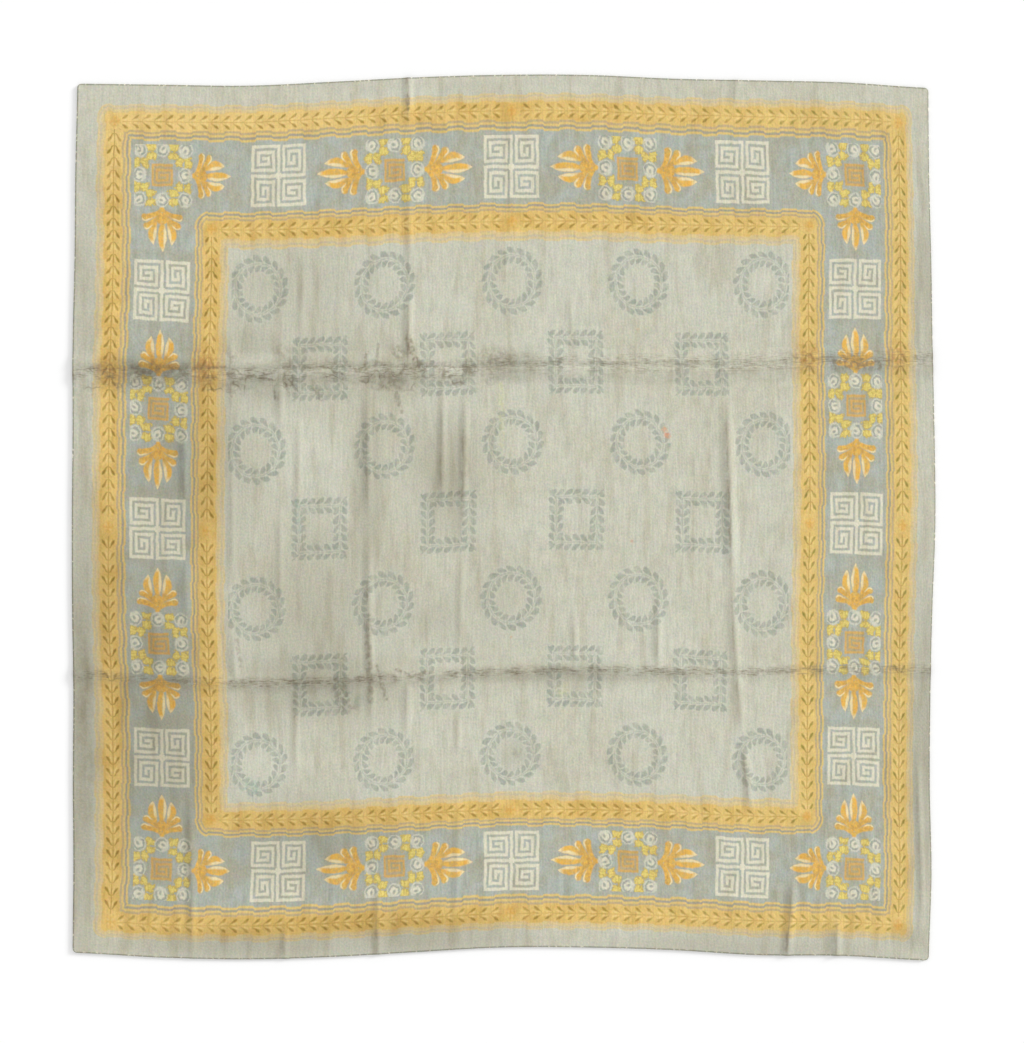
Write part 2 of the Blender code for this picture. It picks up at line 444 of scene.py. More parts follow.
def round_corners(x, y, radius):
    """Draw the points near the plain rectangle's corners in onto a quarter circle."""
    reach_x = (np.abs(x) - (CARPET_WIDTH / 2 - radius)) / radius
    reach_y = (np.abs(y) - (CARPET_LENGTH / 2 - radius)) / radius
    corner = (reach_x > 0.0) & (reach_y > 0.0)
    drawn_x = reach_x * np.sqrt(np.clip(1.0 - reach_y ** 2 / 2.0, 0.0, 1.0))
    drawn_y = reach_y * np.sqrt(np.clip(1.0 - reach_x ** 2 / 2.0, 0.0, 1.0))
    x = np.where(corner, x + np.sign(x) * (drawn_x - reach_x) * radius, x)
    y = np.where(corner, y + np.sign(y) * (drawn_y - reach_y) * radius, y)
    return x, y


# Dirt, painted shade and a painted highlight that follow the folds, and larger soiled places, in
# millimetres from the middle
SoiledPlace = namedtuple("SoiledPlace", "name x y half_x half_y strength")
SOILED_PLACES = (
    SoiledPlace("left margin, lower", -2160, -1000, 170, 1900, 0.75),
    SoiledPlace("left side, lower", -1800, -1000, 560, 1600, 0.55),
    SoiledPlace("left side, middle", -1600, 250, 560, 1000, 0.42),
    SoiledPlace("left margin, upper", -2160, 1100, 150, 1200, 0.22),
    SoiledPlace("left of the upper crease", -1850, 765, 440, 150, 0.62),
    SoiledPlace("upper crease, left", -1230, 700, 370, 220, 0.46),
    SoiledPlace("upper crease, dirtiest", -600, 730, 380, 220, 0.34),
    SoiledPlace("upper crease, middle", 50, 800, 340, 130, 0.42),
    SoiledPlace("upper crease, round about", -900, 780, 760, 380, 0.26),
    SoiledPlace("above the upper crease, left", -1290, 905, 260, 210, 0.34),
    SoiledPlace("field, upper left", -1000, 1150, 700, 500, 0.18),
    SoiledPlace("field, lower left", -950, -500, 700, 900, 0.32),
    SoiledPlace("bottom edge, left", -1300, -2170, 1100, 170, 0.50),
    SoiledPlace("bottom edge, middle", -500, -2140, 1000, 210, 0.46),
    SoiledPlace("bottom edge, right", 1300, -2200, 1100, 170, 0.30),
    SoiledPlace("bottom bands, left", -1000, -1650, 900, 420, 0.34),
    SoiledPlace("middle fold", -300, 240, 330, 560, 0.38),
    SoiledPlace("left fold", -700, 150, 150, 900, 0.42),
    SoiledPlace("lower middle folds", -350, -500, 300, 250, 0.25),
    SoiledPlace("lower crease, left", -950, -840, 720, 330, 0.60),
    SoiledPlace("lower crease, middle", 300, -795, 900, 110, 0.36),
    SoiledPlace("below the middle", -40, -420, 420, 480, 0.16),
    SoiledPlace("left side, below the middle", -2060, -450, 210, 900, 0.50),
    SoiledPlace("wreath below the middle", 60, -1200, 130, 130, 0.25),
    SoiledPlace("right margin, upper", 2180, 1200, 140, 900, 0.30),
    SoiledPlace("right margin, lower", 2170, -1100, 160, 1500, 0.42),
    SoiledPlace("bottom right corner", 2100, -2150, 200, 120, 0.35),
)
# How far from a fold's crest its dirt, painted shade and painted highlight fade out, in millimetres, the
# swelling height at which they are full, and the most they may be
FOLD_SHADE_AND_DIRT_FADE = 45.0
FULL_SHADE_AND_DIRT_HEIGHT = 9.0
MOST_FOLD_SHADE_AND_DIRT = 1.2
FAR_FROM_CREASE = 200.0


def fold_shade_and_dirt(x, y):
    """Return how far points lie from the nearest fold's crest, in millimetres to the right of it,
    and how strongly that fold marks the wool there: with dirt, with painted shade on its shaded side
    and with a painted highlight on its lit side."""
    nearest = np.full_like(x, FOLD_SHADE_AND_DIRT_FADE)
    dirt = np.zeros_like(x)
    for line in FOLD_LINES:
        offset = (x - fold_line_x(line, y)) / MM
        depth = np.zeros_like(x)
        for swelling in map(Swelling._make, line.swellings):
            full = min(swelling.height / FULL_SHADE_AND_DIRT_HEIGHT, MOST_FOLD_SHADE_AND_DIRT)
            depth = np.maximum(depth, full * swelling_share(swelling, y))
        closer = np.abs(offset) < np.abs(nearest)
        nearest = np.where(closer, offset, nearest)
        dirt = np.where(closer, depth * (1.0 - smooth_step(np.abs(offset) / FOLD_SHADE_AND_DIRT_FADE)), dirt)
    return nearest, dirt


def crease_offset(crease, x, y):
    """Return how far points lie above a crease's line, in millimetres."""
    return np.clip((y - crease_y(crease, x)) / MM, -FAR_FROM_CREASE, FAR_FROM_CREASE)


def soil(x, y):
    """Return how soiled the wool is at points."""
    amount = np.zeros_like(x)
    for place in SOILED_PLACES:
        reach = np.hypot((x / MM - place.x) / place.half_x, (y / MM - place.y) / place.half_y)
        amount = np.maximum(amount, place.strength * (1.0 - smooth_step(reach)))
    return amount


def deselect_everything():
    """Leave nothing selected, so that the next operator acts on its own piece alone."""
    for thing in bpy.context.selected_objects:
        thing.select_set(False)


def make_sheet(sizes):
    """Return the underside of the carpet as an open sheet, with its knots numbered in a UV map."""
    columns = mesh_lines(HALF_COLUMNS, COLUMN_STEP, FINE_COLUMN_STEP, fold_column_ranges())
    rows = mesh_lines(HALF_ROWS, ROW_STEP, FINE_ROW_STEP, crease_row_ranges())
    across = len(columns) - 1
    down = len(rows) - 1
    bpy.ops.mesh.primitive_grid_add(x_subdivisions=across, y_subdivisions=down, size=2.0)
    sheet = bpy.context.active_object
    mesh = sheet.data
    flat = np.empty(len(mesh.vertices) * 3)
    mesh.vertices.foreach_get("co", flat)
    flat = flat.reshape(-1, 3)
    column = columns[np.rint((flat[:, 0] + 1.0) / 2.0 * across).astype(int)]
    row = rows[np.rint((flat[:, 1] + 1.0) / 2.0 * down).astype(int)]
    x, y = strayed(column, row)
    # The folds' marks: dirt, painted shade and a painted highlight beside their crests, with the soil
    offset, dirt = fold_shade_and_dirt(x, y)
    folds = np.stack((offset, dirt, soil(*on_outline(x, y)), np.ones_like(x)), axis=1)
    lines = [crease_offset(crease, x, y) for crease in CREASES]
    creases = np.stack((*lines, np.zeros_like(x), np.ones_like(x)), axis=1)
    height = cloth_height(x, y)
    x, y = on_outline(*round_corners(x, y, sizes.corner_radius))
    middle = Vector(((x.min() + x.max()) / 2, (y.min() + y.max()) / 2))
    places = np.stack((x - middle.x, y - middle.y, height), axis=1)
    mesh.vertices.foreach_set("co", places.ravel())
    for name, values in ((FOLD_SHADE_AND_WEAR, folds), (CREASE_WEAR, creases)):
        layer = mesh.color_attributes.new(name=name, type="FLOAT_COLOR", domain="POINT")
        layer.data.foreach_set("color", values.ravel())
    mesh.uv_layers.active.name = KNOT_MAP
    vertex = np.empty(len(mesh.loops), dtype=np.int32)
    mesh.loops.foreach_get("vertex_index", vertex)
    knots = np.stack((column[vertex], row[vertex]), axis=1)
    mesh.uv_layers[KNOT_MAP].uv.foreach_set("vector", knots.ravel())
    mesh.update()
    return sheet


def finish_modifier(piece, modifier):
    """Apply a modifier to its piece."""
    bpy.ops.object.select_all(action="DESELECT")
    piece.select_set(True)
    bpy.context.view_layer.objects.active = piece
    bpy.ops.object.modifier_apply(modifier=modifier.name)


def thicken(sheet, sizes):
    """Give the sheet its thickness above the underside, and round its edges a little."""
    shell = sheet.modifiers.new("thickness", "SOLIDIFY")
    shell.thickness = sizes.thickness
    shell.offset = 1.0
    finish_modifier(sheet, shell)
    rounding = sheet.modifiers.new("edge", "BEVEL")
    rounding.width = sizes.edge_round
    rounding.segments = 2
    rounding.limit_method = "ANGLE"
    rounding.angle_limit = math.radians(60)
    finish_modifier(sheet, rounding)
    sheet.data.shade_smooth()


def loop_numbers(mesh):
    """Return each loop's face, how many loops each face has, and each loop's column and row."""
    count = len(mesh.loops)
    totals = np.empty(len(mesh.polygons), dtype=np.int32)
    mesh.polygons.foreach_get("loop_total", totals)
    face = np.repeat(np.arange(len(totals)), totals)
    knots = np.empty(count * 2, dtype=np.float32)
    mesh.uv_layers[KNOT_MAP].uv.foreach_get("vector", knots)
    return face, totals, knots.reshape(-1, 2)


ZONES = ("margin_wool", "outer_gold_band", "border_wool", "inner_gold_band", "field_wool")
ZONE_ENDS = (MARGIN_END, GROUND_START, GROUND_END, FIELD_START)
UP_ENOUGH = 0.3


def wear_zones(mesh, dyed):
    """Give each face the wool of its part of the pattern, and the underside its bare back."""
    for name in ZONES + ("knotted_back",):
        mesh.materials.append(dyed[name])
    face, totals, knots = loop_numbers(mesh)
    middle = np.stack([np.bincount(face, knots[:, axis]) / totals for axis in (0, 1)], axis=1)
    from_edge = np.minimum(HALF_COLUMNS - np.abs(middle[:, 0]), HALF_ROWS - np.abs(middle[:, 1]))
    slot = np.searchsorted(ZONE_ENDS, from_edge)
    normals = np.empty(len(totals) * 3, dtype=np.float32)
    mesh.polygons.foreach_get("normal", normals)
    upwards = normals.reshape(-1, 3)[:, 2]
    slot = np.where(upwards < -UP_ENOUGH, len(ZONES), slot)
    mesh.polygons.foreach_set("material_index", slot.astype(np.int32))
    return upwards


# The picture that the pattern can be baked into: the pile takes most of it, its edge faces lie
# round it, and the back has a strip along the bottom.
BAKE_EDGE = 0.008
BAKE_BACK = (0.004, 0.046)
BAKE_PILE_START = 0.056
BAKE_EDGE_FILLED = 0.9


def lay_out_bake(mesh, upwards, thickness):
    """Make the UV map for a bake, with nearly all of its area for the pile."""
    face, _, knots = loop_numbers(mesh)
    share = np.stack(
        (knots[:, 0] / HALF_COLUMNS / 2 + 0.5, knots[:, 1] / HALF_ROWS / 2 + 0.5), axis=1
    )
    vertex = np.empty(len(mesh.loops), dtype=np.int32)
    mesh.loops.foreach_get("vertex_index", vertex)
    places = np.empty(len(mesh.vertices) * 3)
    mesh.vertices.foreach_get("co", places)
    places = places.reshape(-1, 3)
    heights = cloth_height(*strayed(knots[:, 0].astype(float), knots[:, 1].astype(float)))
    depth = np.clip(1.0 - (places[vertex, 2] - heights) / thickness, 0.0, 1.0)
    side = np.abs(upwards[face]) < UP_ENOUGH
    from_edge = np.stack(
        (HALF_COLUMNS - np.abs(knots[:, 0]), HALF_ROWS - np.abs(knots[:, 1])), axis=1
    )
    nearest = from_edge[:, 0] < from_edge[:, 1]
    outwards = np.stack((np.where(nearest, np.sign(knots[:, 0]), 0),
                         np.where(nearest, 0, np.sign(knots[:, 1]))), axis=1)
    room = np.array((1 - 2 * BAKE_EDGE, 1 - BAKE_PILE_START - 2 * BAKE_EDGE))
    start = np.array((BAKE_EDGE, BAKE_PILE_START + BAKE_EDGE))
    pile = start + share * room
    shell = pile + outwards * (depth * side * BAKE_EDGE * BAKE_EDGE_FILLED)[:, None]
    strip = np.array((1 - 2 * BAKE_EDGE, BAKE_BACK[1] - BAKE_BACK[0]))
    back = np.array((BAKE_EDGE, BAKE_BACK[0])) + share * strip
    under = (upwards[face] < -UP_ENOUGH)[:, None]
    layout = np.where(under, back, shell)
    mesh.uv_layers.new(name=BAKE_MAP)
    mesh.uv_layers[BAKE_MAP].uv.foreach_set("vector", layout.astype(np.float32).ravel())


class Thread:
    """A number that changes over the pile: the output of a node, with arithmetic."""

    def __init__(self, chart, socket):
        self.chart = chart
        self.socket = socket

    def __neg__(self):
        return self.chart.math("MULTIPLY", self, -1.0)

    def __abs__(self):
        return self.chart.math("ABSOLUTE", self)


def thread_arithmetic(operation, swapped=False):
    """Return a method that puts a thread and another value into a Math node."""
    if swapped:
        return lambda thread, other: thread.chart.math(operation, other, thread)
    return lambda thread, other: thread.chart.math(operation, thread, other)


for sign, operation in (
    ("add", "ADD"), ("sub", "SUBTRACT"), ("mul", "MULTIPLY"), ("truediv", "DIVIDE"),
    ("pow", "POWER"), ("lt", "LESS_THAN"), ("gt", "GREATER_THAN"),
):
    setattr(Thread, f"__{sign}__", thread_arithmetic(operation))

for sign, operation in (("radd", "ADD"), ("rsub", "SUBTRACT"), ("rmul", "MULTIPLY")):
    setattr(Thread, f"__{sign}__", thread_arithmetic(operation, swapped=True))


class Chart:
    """Puts nodes into a tree one after another, in rows, and joins them."""

    NODES_IN_A_ROW = 16
    COLUMN_GAP = 180
    ROW_GAP = 220

    # A Mix node has sockets for each kind of value. These are those of numbers and colours.
    MIX_NUMBERS = (0, 2, 3)
    MIX_COLOURS = (0, 6, 7)
    MIXED_COLOUR = 2

    def __init__(self, tree):
        self.tree = tree
        self.count = 0

    def node(self, kind, **settings):
        """Add a node with these settings at the next free place."""
        node = self.tree.nodes.new(kind)
        row, column = divmod(self.count, self.NODES_IN_A_ROW)
        node.location = (column * self.COLUMN_GAP, -row * self.ROW_GAP)
        self.count += 1
        for name, value in settings.items():
            setattr(node, name, value)
        return node

    def feed(self, socket, value):
        """Link a thread to a socket, or write a plain value into it."""
        if isinstance(value, Thread):
            self.tree.links.new(value.socket, socket)
        else:
            socket.default_value = value

    def thread(self, socket):
        """Return an output as a thread."""
        return Thread(self, socket)

    def math(self, operation, *values):
        """Add a Math node."""
        node = self.node("ShaderNodeMath", operation=operation)
        for socket, value in zip(node.inputs, values):
            self.feed(socket, value)
        return self.thread(node.outputs[0])

    def least(self, *values):
        """Return the least of some values."""
        least = values[0]
        for value in values[1:]:
            least = self.math("MINIMUM", least, value)
        return least

    def most(self, *values):
        """Return the greatest of some values."""
        most = values[0]
        for value in values[1:]:
            most = self.math("MAXIMUM", most, value)
        return most

    def distance(self, x, y):
        """Return how far a point is from the origin."""
        return self.math("SQRT", x * x + y * y)

    def ramp(self, value, start, end, low=0.0, high=1.0, kind="LINEAR"):
        """Return low before start, high after end, and what lies between on the way."""
        node = self.node("ShaderNodeMapRange", interpolation_type=kind, clamp=True)
        for socket, number in zip(node.inputs, (value, start, end, low, high)):
            self.feed(socket, number)
        return self.thread(node.outputs["Result"])

    def fade(self, distance, full, gone, strength=1.0):
        """Return a strength that holds up to one distance and eases away to nothing at another."""
        return self.ramp(distance, full, gone, strength, 0.0, "SMOOTHSTEP")

    def inside(self, distance, soft=0.6):
        """Return 1 where a distance is under nothing and 0 where it is over, with a soft edge."""
        return self.ramp(distance, -soft, soft, 1.0, 0.0)

    def choose(self, mask, low, high):
        """Mix two numbers."""
        node = self.node("ShaderNodeMix", data_type="FLOAT")
        for number, value in zip(self.MIX_NUMBERS, (mask, low, high)):
            self.feed(node.inputs[number], value)
        return self.thread(node.outputs[0])

    def tint(self, mask, below, above, way="MIX"):
        """Lay one colour over another."""
        node = self.node("ShaderNodeMix", data_type="RGBA", blend_type=way)
        for number, value in zip(self.MIX_COLOURS, (mask, below, above)):
            self.feed(node.inputs[number], value)
        return self.thread(node.outputs[self.MIXED_COLOUR])

    def vector(self, operation, *values):
        """Add a Vector Math node."""
        node = self.node("ShaderNodeVectorMath", operation=operation)
        sockets = [node.inputs[0], node.inputs["Scale"] if operation == "SCALE" else node.inputs[1]]
        for socket, value in zip(sockets, values):
            self.feed(socket, value)
        return self.thread(node.outputs["Value" if operation in ("DOT_PRODUCT", "LENGTH") else "Vector"])

    def grey(self, value):
        """Return a number as a grey colour."""
        node = self.node("ShaderNodeCombineColor")
        for socket in node.inputs:
            self.feed(socket, value)
        return self.thread(node.outputs[0])

    def join(self, x, y):
        """Return a vector."""
        node = self.node("ShaderNodeCombineXYZ")
        self.feed(node.inputs[0], x)
        self.feed(node.inputs[1], y)
        return self.thread(node.outputs[0])

    def part(self, vector):
        """Return the parts of a vector or a colour."""
        node = self.node("ShaderNodeSeparateXYZ")
        self.feed(node.inputs[0], vector)
        return [self.thread(socket) for socket in node.outputs]

    def noise(self, vector, cloud):
        """Return a flat noise's value and colour."""
        node = self.node("ShaderNodeTexNoise", noise_dimensions="2D")
        self.feed(node.inputs["Vector"], vector)
        for name, value in zip(("Scale", "Detail", "Roughness"), cloud):
            node.inputs[name].default_value = value
        return self.thread(node.outputs["Fac"]), self.thread(node.outputs["Color"])

    def drift(self, column, row, drift):
        """Return a noise that is drawn out along the columns or rows."""
        place = self.join(column * drift.across, row * drift.up)
        return self.noise(place, Cloud(1.0, drift.detail, drift.roughness))[0]

    def attribute(self, name):
        """Return the three numbers that the mesh holds at each point under a name."""
        node = self.node("ShaderNodeAttribute", attribute_name=name)
        return self.part(self.thread(node.outputs["Vector"]))

    def place(self, group, **values):
        """Put a node group in, feed its inputs, and return its outputs by name."""
        node = self.node("ShaderNodeGroup", node_tree=group)
        for name, value in values.items():
            self.feed(node.inputs[name.replace("_", " ").title()], value)
        return {socket.name: self.thread(socket) for socket in node.outputs}


def new_group(name, inputs, outputs):
    """Start a shader node group. Inputs and outputs are pairs of a name and a kind of socket."""
    group = bpy.data.node_groups.new(name, "ShaderNodeTree")
    for label, kind in inputs:
        group.interface.new_socket(label, in_out="INPUT", socket_type=kind)
    for label, kind in outputs:
        group.interface.new_socket(label, in_out="OUTPUT", socket_type=kind)
    chart = Chart(group)
    entry = chart.node("NodeGroupInput")
    given = {socket.name: chart.thread(socket) for socket in entry.outputs if socket.name}
    return group, chart, given


def end_group(chart, **results):
    """Finish a shader node group with its results."""
    leaving = chart.node("NodeGroupOutput")
    for name, value in results.items():
        chart.feed(leaving.inputs[name.replace("_", " ").title()], value)


NUMBER = "NodeSocketFloat"
COLOUR = "NodeSocketColor"
VECTOR = "NodeSocketVector"

# The noises in the wool. A cloud is the same each way, and its scale is counted a knot. A drift is
# drawn out along the columns or rows, and has a scale across and one up.
Cloud = namedtuple("Cloud", "scale detail roughness")
HAND = Cloud(0.07, 2.0, 0.6)
BROAD = Cloud(0.011, 2.0, 0.5)
PATCHES = Cloud(0.045, 3.0, 0.6)
GRAIN = Cloud(0.45, 1.0, 0.5)
MOTTLE = Cloud(0.09, 3.0, 0.6)
VEINS = Cloud(0.034, 2.0, 0.6)
MARK_HAND = Cloud(0.12, 2.0, 0.6)
MARK_WEAR = Cloud(0.2, 1.0, 0.5)
EDGE_STITCHES = Cloud(0.35, 1.0, 0.5)
BAND_PATCHES = Cloud(0.05, 3.0, 0.5)
PALMETTE_DAPPLES = Cloud(0.19, 2.0, 0.6)
ROSE_DAPPLES = Cloud(0.22, 2.0, 0.7)
WREATH_FADING = Cloud(0.08, 1.0, 0.5)
Drift = namedtuple("Drift", "across up detail roughness")
STREAKS = Drift(0.42, 0.045, 2.0, 0.5)
WIDE_STREAKS = Drift(0.075, 0.014, 2.0, 0.5)
CREASE_WANDER = Drift(0.03, 0.01, 2.0, 0.5)
CREASE_BARE = Drift(0.05, 0.09, 3.0, 0.65)
CREASE_THREADS = Drift(0.11, 0.7, 3.0, 0.65)

# A leaf-shaped lobe, and those of the laurel, in knots: across from its stem, and along from the foot
# of a pair of leaves. Last is half the stem's width.
Lobe = namedtuple("Lobe", "start end half_width fullness bend")
LAUREL_LEAF = Lobe((2.3, 1.7), (6.5, 8.0), 1.3, 1.3, 0.0)
LAUREL_STALK = Lobe((-0.6, -0.6), (3.8, 3.2), 0.5, 1.0, -0.7)
LAUREL_SHINE = Lobe((0.9, 2.6), (3.0, 8.6), 0.8, 1.0, 0.0)
LAUREL_STEM = 0.35


def lobe(chart, x, y, start, end, half_width, fullness, bend):
    """Return how far outside a leaf-shaped lobe a point is, and which way across it: the lobe runs
    from its start to its end, a fullness over 1 carries its widest place towards the end, and a bend
    carries its middle sideways."""
    run = (end[0] - start[0], end[1] - start[1])
    length = math.hypot(*run)
    over = x - start[0]
    up = y - start[1]
    share = over * (run[0] / length ** 2) + up * (run[1] / length ** 2)
    side = over * (run[1] / length) - up * (run[0] / length)
    held = chart.most(chart.least(share, 1.0), 0.0)
    if bend:
        side = side + held * (1.0 - held) * (4.0 * bend)
    eased = held ** fullness if fullness != 1.0 else held
    width = eased * (1.0 - eased) * (4.0 * half_width)
    beyond = abs(share - held) * length
    return abs(side) - width + beyond, side, share


def knot_numbers(chart):
    """Return the column and row of the pile at a point, in knots from the middle, as a vector."""
    return chart.thread(chart.node("ShaderNodeUVMap", uv_map=KNOT_MAP).outputs[0])


def hand_drawn(chart, knots, reach, cloud=HAND):
    """Return the column and row with the small strays of a hand-knotted drawing."""
    column, row, _ = chart.part(knots)
    _, stray = chart.noise(knots, cloud)
    stray_column, stray_row, _ = chart.part(stray)
    return column + (stray_column - 0.5) * (2 * reach), row + (stray_row - 0.5) * (2 * reach)


def linear(dye, light):
    """Turn a dye as the eye sees it into the wool's own colour under the stage's light."""
    shades = Color(dye).from_srgb_to_scene_linear()
    return (*(min(shade / light, 1.0) for shade in shades), 1.0)


class Dyes:
    """The settings' dyes as the shaders need them, by name."""

    def __init__(self, settings):
        for name in settings.__annotations__:
            value = getattr(settings, name)
            if name != "light_level":
                setattr(self, name, linear(value, settings.light_level))


def laurel_group():
    """Build the laurel: a stem with one pair of leaves a step. Across is how far a point is from the
    stem, Along how far it is from the foot of its pair of leaves, both in knots."""
    group, chart, given = new_group(
        "laurel", [("Across", NUMBER), ("Along", NUMBER), ("Plump", NUMBER)],
        [("Leaf", NUMBER), ("Stem", NUMBER), ("Shine", NUMBER)],
    )
    across = given["Across"]
    along = given["Along"]
    leaf, _, _ = lobe(chart, across, along, *LAUREL_LEAF)
    stalk, _, _ = lobe(chart, across, along, *LAUREL_STALK)
    shine, _, _ = lobe(chart, across, along, *LAUREL_SHINE)
    end_group(
        chart,
        leaf=chart.inside(leaf - given["Plump"], 0.7),
        stem=chart.most(chart.inside(across - LAUREL_STEM, 0.5), chart.inside(stalk)),
        shine=chart.inside(shine),
    )
    return group


def wools_group(dyes):
    """Build the mottled plain wools that neighbouring parts of the pattern share."""
    group, chart, given = new_group(
        "plain_wools", [("Knots", VECTOR)], [("Field", COLOUR), ("Border", COLOUR)]
    )
    knots = given["Knots"]
    broad, _ = chart.noise(knots, BROAD)
    patch, _ = chart.noise(knots, PATCHES)
    browner = chart.ramp(broad, 0.35, 0.65, 0.0, 0.7)
    bluer = chart.ramp(patch, 0.35, 0.65)
    field = chart.tint(browner, dyes.field, dyes.field_brown)
    field = chart.tint(bluer * 0.35, field, dyes.field_green)
    border = chart.tint(bluer, dyes.border_brown, dyes.border)
    end_group(chart, field=field, border=border)
    return group


# Where the painted highlight and the painted shade with dirt lie beside a fold's crest, in millimetres
# to the right of it, and how far the upper crease's crests lie from its line. The dirt of the upper
# crease lies lower over its left part, which ends over these columns. Dirt and painted shade are never
# stronger than the last of these.
PAINTED_HIGHLIGHT_SIDE = 13.0
SHADED_SIDE = -4.0
SPREAD_SIDE = -8.0
CREST = 24.0
LEFT_PART_ENDS = (-60.0, 0.0)
DARKEST_DIRT_AND_SHADE = 1.2


def shade_and_dirt_beside_folds(chart, offset, fold, mottle, broken):
    """Return the painted shade on the shaded side of the folds' crests, mixed with dirt: a dark line,
    and what spreads round it.
    """
    # Painted shade: a dark line on the folds' left sides, away from the key light, with some dirt
    shaded = abs(offset - SHADED_SIDE + (mottle - 0.5) * 14.0)
    line = fold * chart.fade(shaded, 0.0, 15.0, 0.9) * (0.3 + broken * 0.7)
    spread = fold * chart.fade(abs(offset - SPREAD_SIDE), 5.0, 40.0) * broken * 0.5
    return chart.most(line, spread)


def dirty_creases(chart, knots, upper, lower):
    """Return the dirt that is drawn along the creases, in wandering lines, veins and broken rows of
    knots, and the smudges round them."""
    column, row, _ = chart.part(knots)
    left = chart.ramp(column, *LEFT_PART_ENDS, 1.0, 0.0)
    wander = chart.drift(column, row, CREASE_WANDER) - 0.5
    worn = chart.drift(column, row, CREASE_BARE)
    bare = chart.ramp(worn, 0.38, 0.58)
    bent = upper + wander * (10.0 + left * 75.0)
    crests = chart.least(abs(bent - CREST + left * 20.0), abs(bent + CREST - left * 24.0))
    upper_line = chart.ramp(crests, 1.0, 7.0, 1.0, 0.0) * (0.25 + bare * 0.75) * (1.0 - left * 0.5)
    lower_line = chart.ramp(abs(lower + wander * 16.0), 2.0, 12.0, 1.0, 0.0) * (0.12 + bare * 0.3)
    near_upper = chart.fade(abs(upper + left * 40.0), 10.0, 140.0)
    near_lower = chart.fade(abs(lower), 5.0, 60.0)
    vein, _ = chart.noise(knots, VEINS)
    veins = chart.ramp(abs(vein - 0.5), 0.004, 0.03, 1.0, 0.0) * (0.2 + left * 0.8) * bare
    dashes = chart.ramp(chart.drift(column, row, CREASE_THREADS), 0.45, 0.64)
    upper_rows = chart.fade(abs(upper - 12.0 + left * 28.0), 10.0, 70.0, 0.85) * (0.45 + bare * 0.55)
    lower_rows = chart.fade(abs(lower), 4.0, 34.0) * (0.5 + bare * 0.5)
    rows = dashes * chart.most(upper_rows, lower_rows)
    smudges = chart.ramp(worn, 0.44, 0.66) * near_upper * (0.22 + left * 0.2)
    drawn = chart.most(upper_line * 0.4, veins * near_upper * 0.8, rows, lower_line)
    return drawn, smudges + near_lower * bare * 0.32


def pile_group(dyes, wear):
    """Build the old pile: vertical streaks, mottling, single knots, dirt along the folds and
    creases, painted shade on the folds' shaded sides, a painted highlight on their lit sides, and soil."""
    group, chart, given = new_group(
        "old_pile", [("Knots", VECTOR), ("Colour", COLOUR)], [("Colour", COLOUR), ("Height", NUMBER)]
    )
    knots = given["Knots"]
    column, row, _ = chart.part(knots)
    streak = chart.drift(column, row, STREAKS)
    wide = chart.drift(column, row, WIDE_STREAKS)
    grain, tuft = chart.noise(knots, GRAIN)
    mottle, hue = chart.noise(knots, MOTTLE)
    # The offset from the nearest fold's crest, the strength of its painted shade, highlight and dirt,
    # and the soil
    offset, fold, soiled = chart.attribute(FOLD_SHADE_AND_WEAR)
    upper, lower, _ = chart.attribute(CREASE_WEAR)
    # Painted highlight: the folds' right sides, which face the key light, are drawn brighter
    fold_painted_highlight = chart.fade(abs(offset - PAINTED_HIGHLIGHT_SIDE), 2.0, 14.0, wear.painted_fold_highlights) * fold
    light = 1.0 + (streak - 0.5) * wear.streaks + (grain - 0.5) * wear.grain
    light = light + (mottle - 0.5) * wear.mottle + fold_painted_highlight
    colour = chart.tint(1.0, given["Colour"], chart.grey(light), "MULTIPLY")
    colour = chart.tint(wear.knot_hues, colour, tuft, "SOFT_LIGHT")
    colour = chart.tint(wear.mottle_hues, colour, hue, "SOFT_LIGHT")
    washed = chart.ramp(wide, 0.52, 0.72) * wear.wide_streaks
    colour = chart.tint(washed, colour, dyes.streak_wash, "MULTIPLY")
    broken = chart.ramp(streak + mottle, 0.8, 1.15)
    drawn, smudges = dirty_creases(chart, knots, upper, lower)
    drawn = chart.most(shade_and_dirt_beside_folds(chart, offset, fold, mottle, broken), drawn)
    # Dirt along the creases and folds, and painted shade on the folds' shaded sides, darken the wool
    colour = chart.tint(chart.least(drawn + smudges, DARKEST_DIRT_AND_SHADE) * wear.dirt, colour, dyes.dirt)
    patches = 0.1 + mottle * 0.8 + wide * 0.5 + streak * 0.5
    colour = chart.tint(soiled * patches, colour, dyes.soil_wash, "MULTIPLY")
    end_group(chart, colour=colour, height=streak * 0.6 + grain * 0.8)
    return group


# The wool's surface: the shader's sockets that are the same all over
WOOL_SURFACE = {
    "Roughness": 0.95, "Specular IOR Level": 0.15, "Sheen Weight": 0.08, "Sheen Roughness": 0.6,
}
RELIEF_STRENGTH = 0.5
RELIEF_DEPTH = 2 * MM


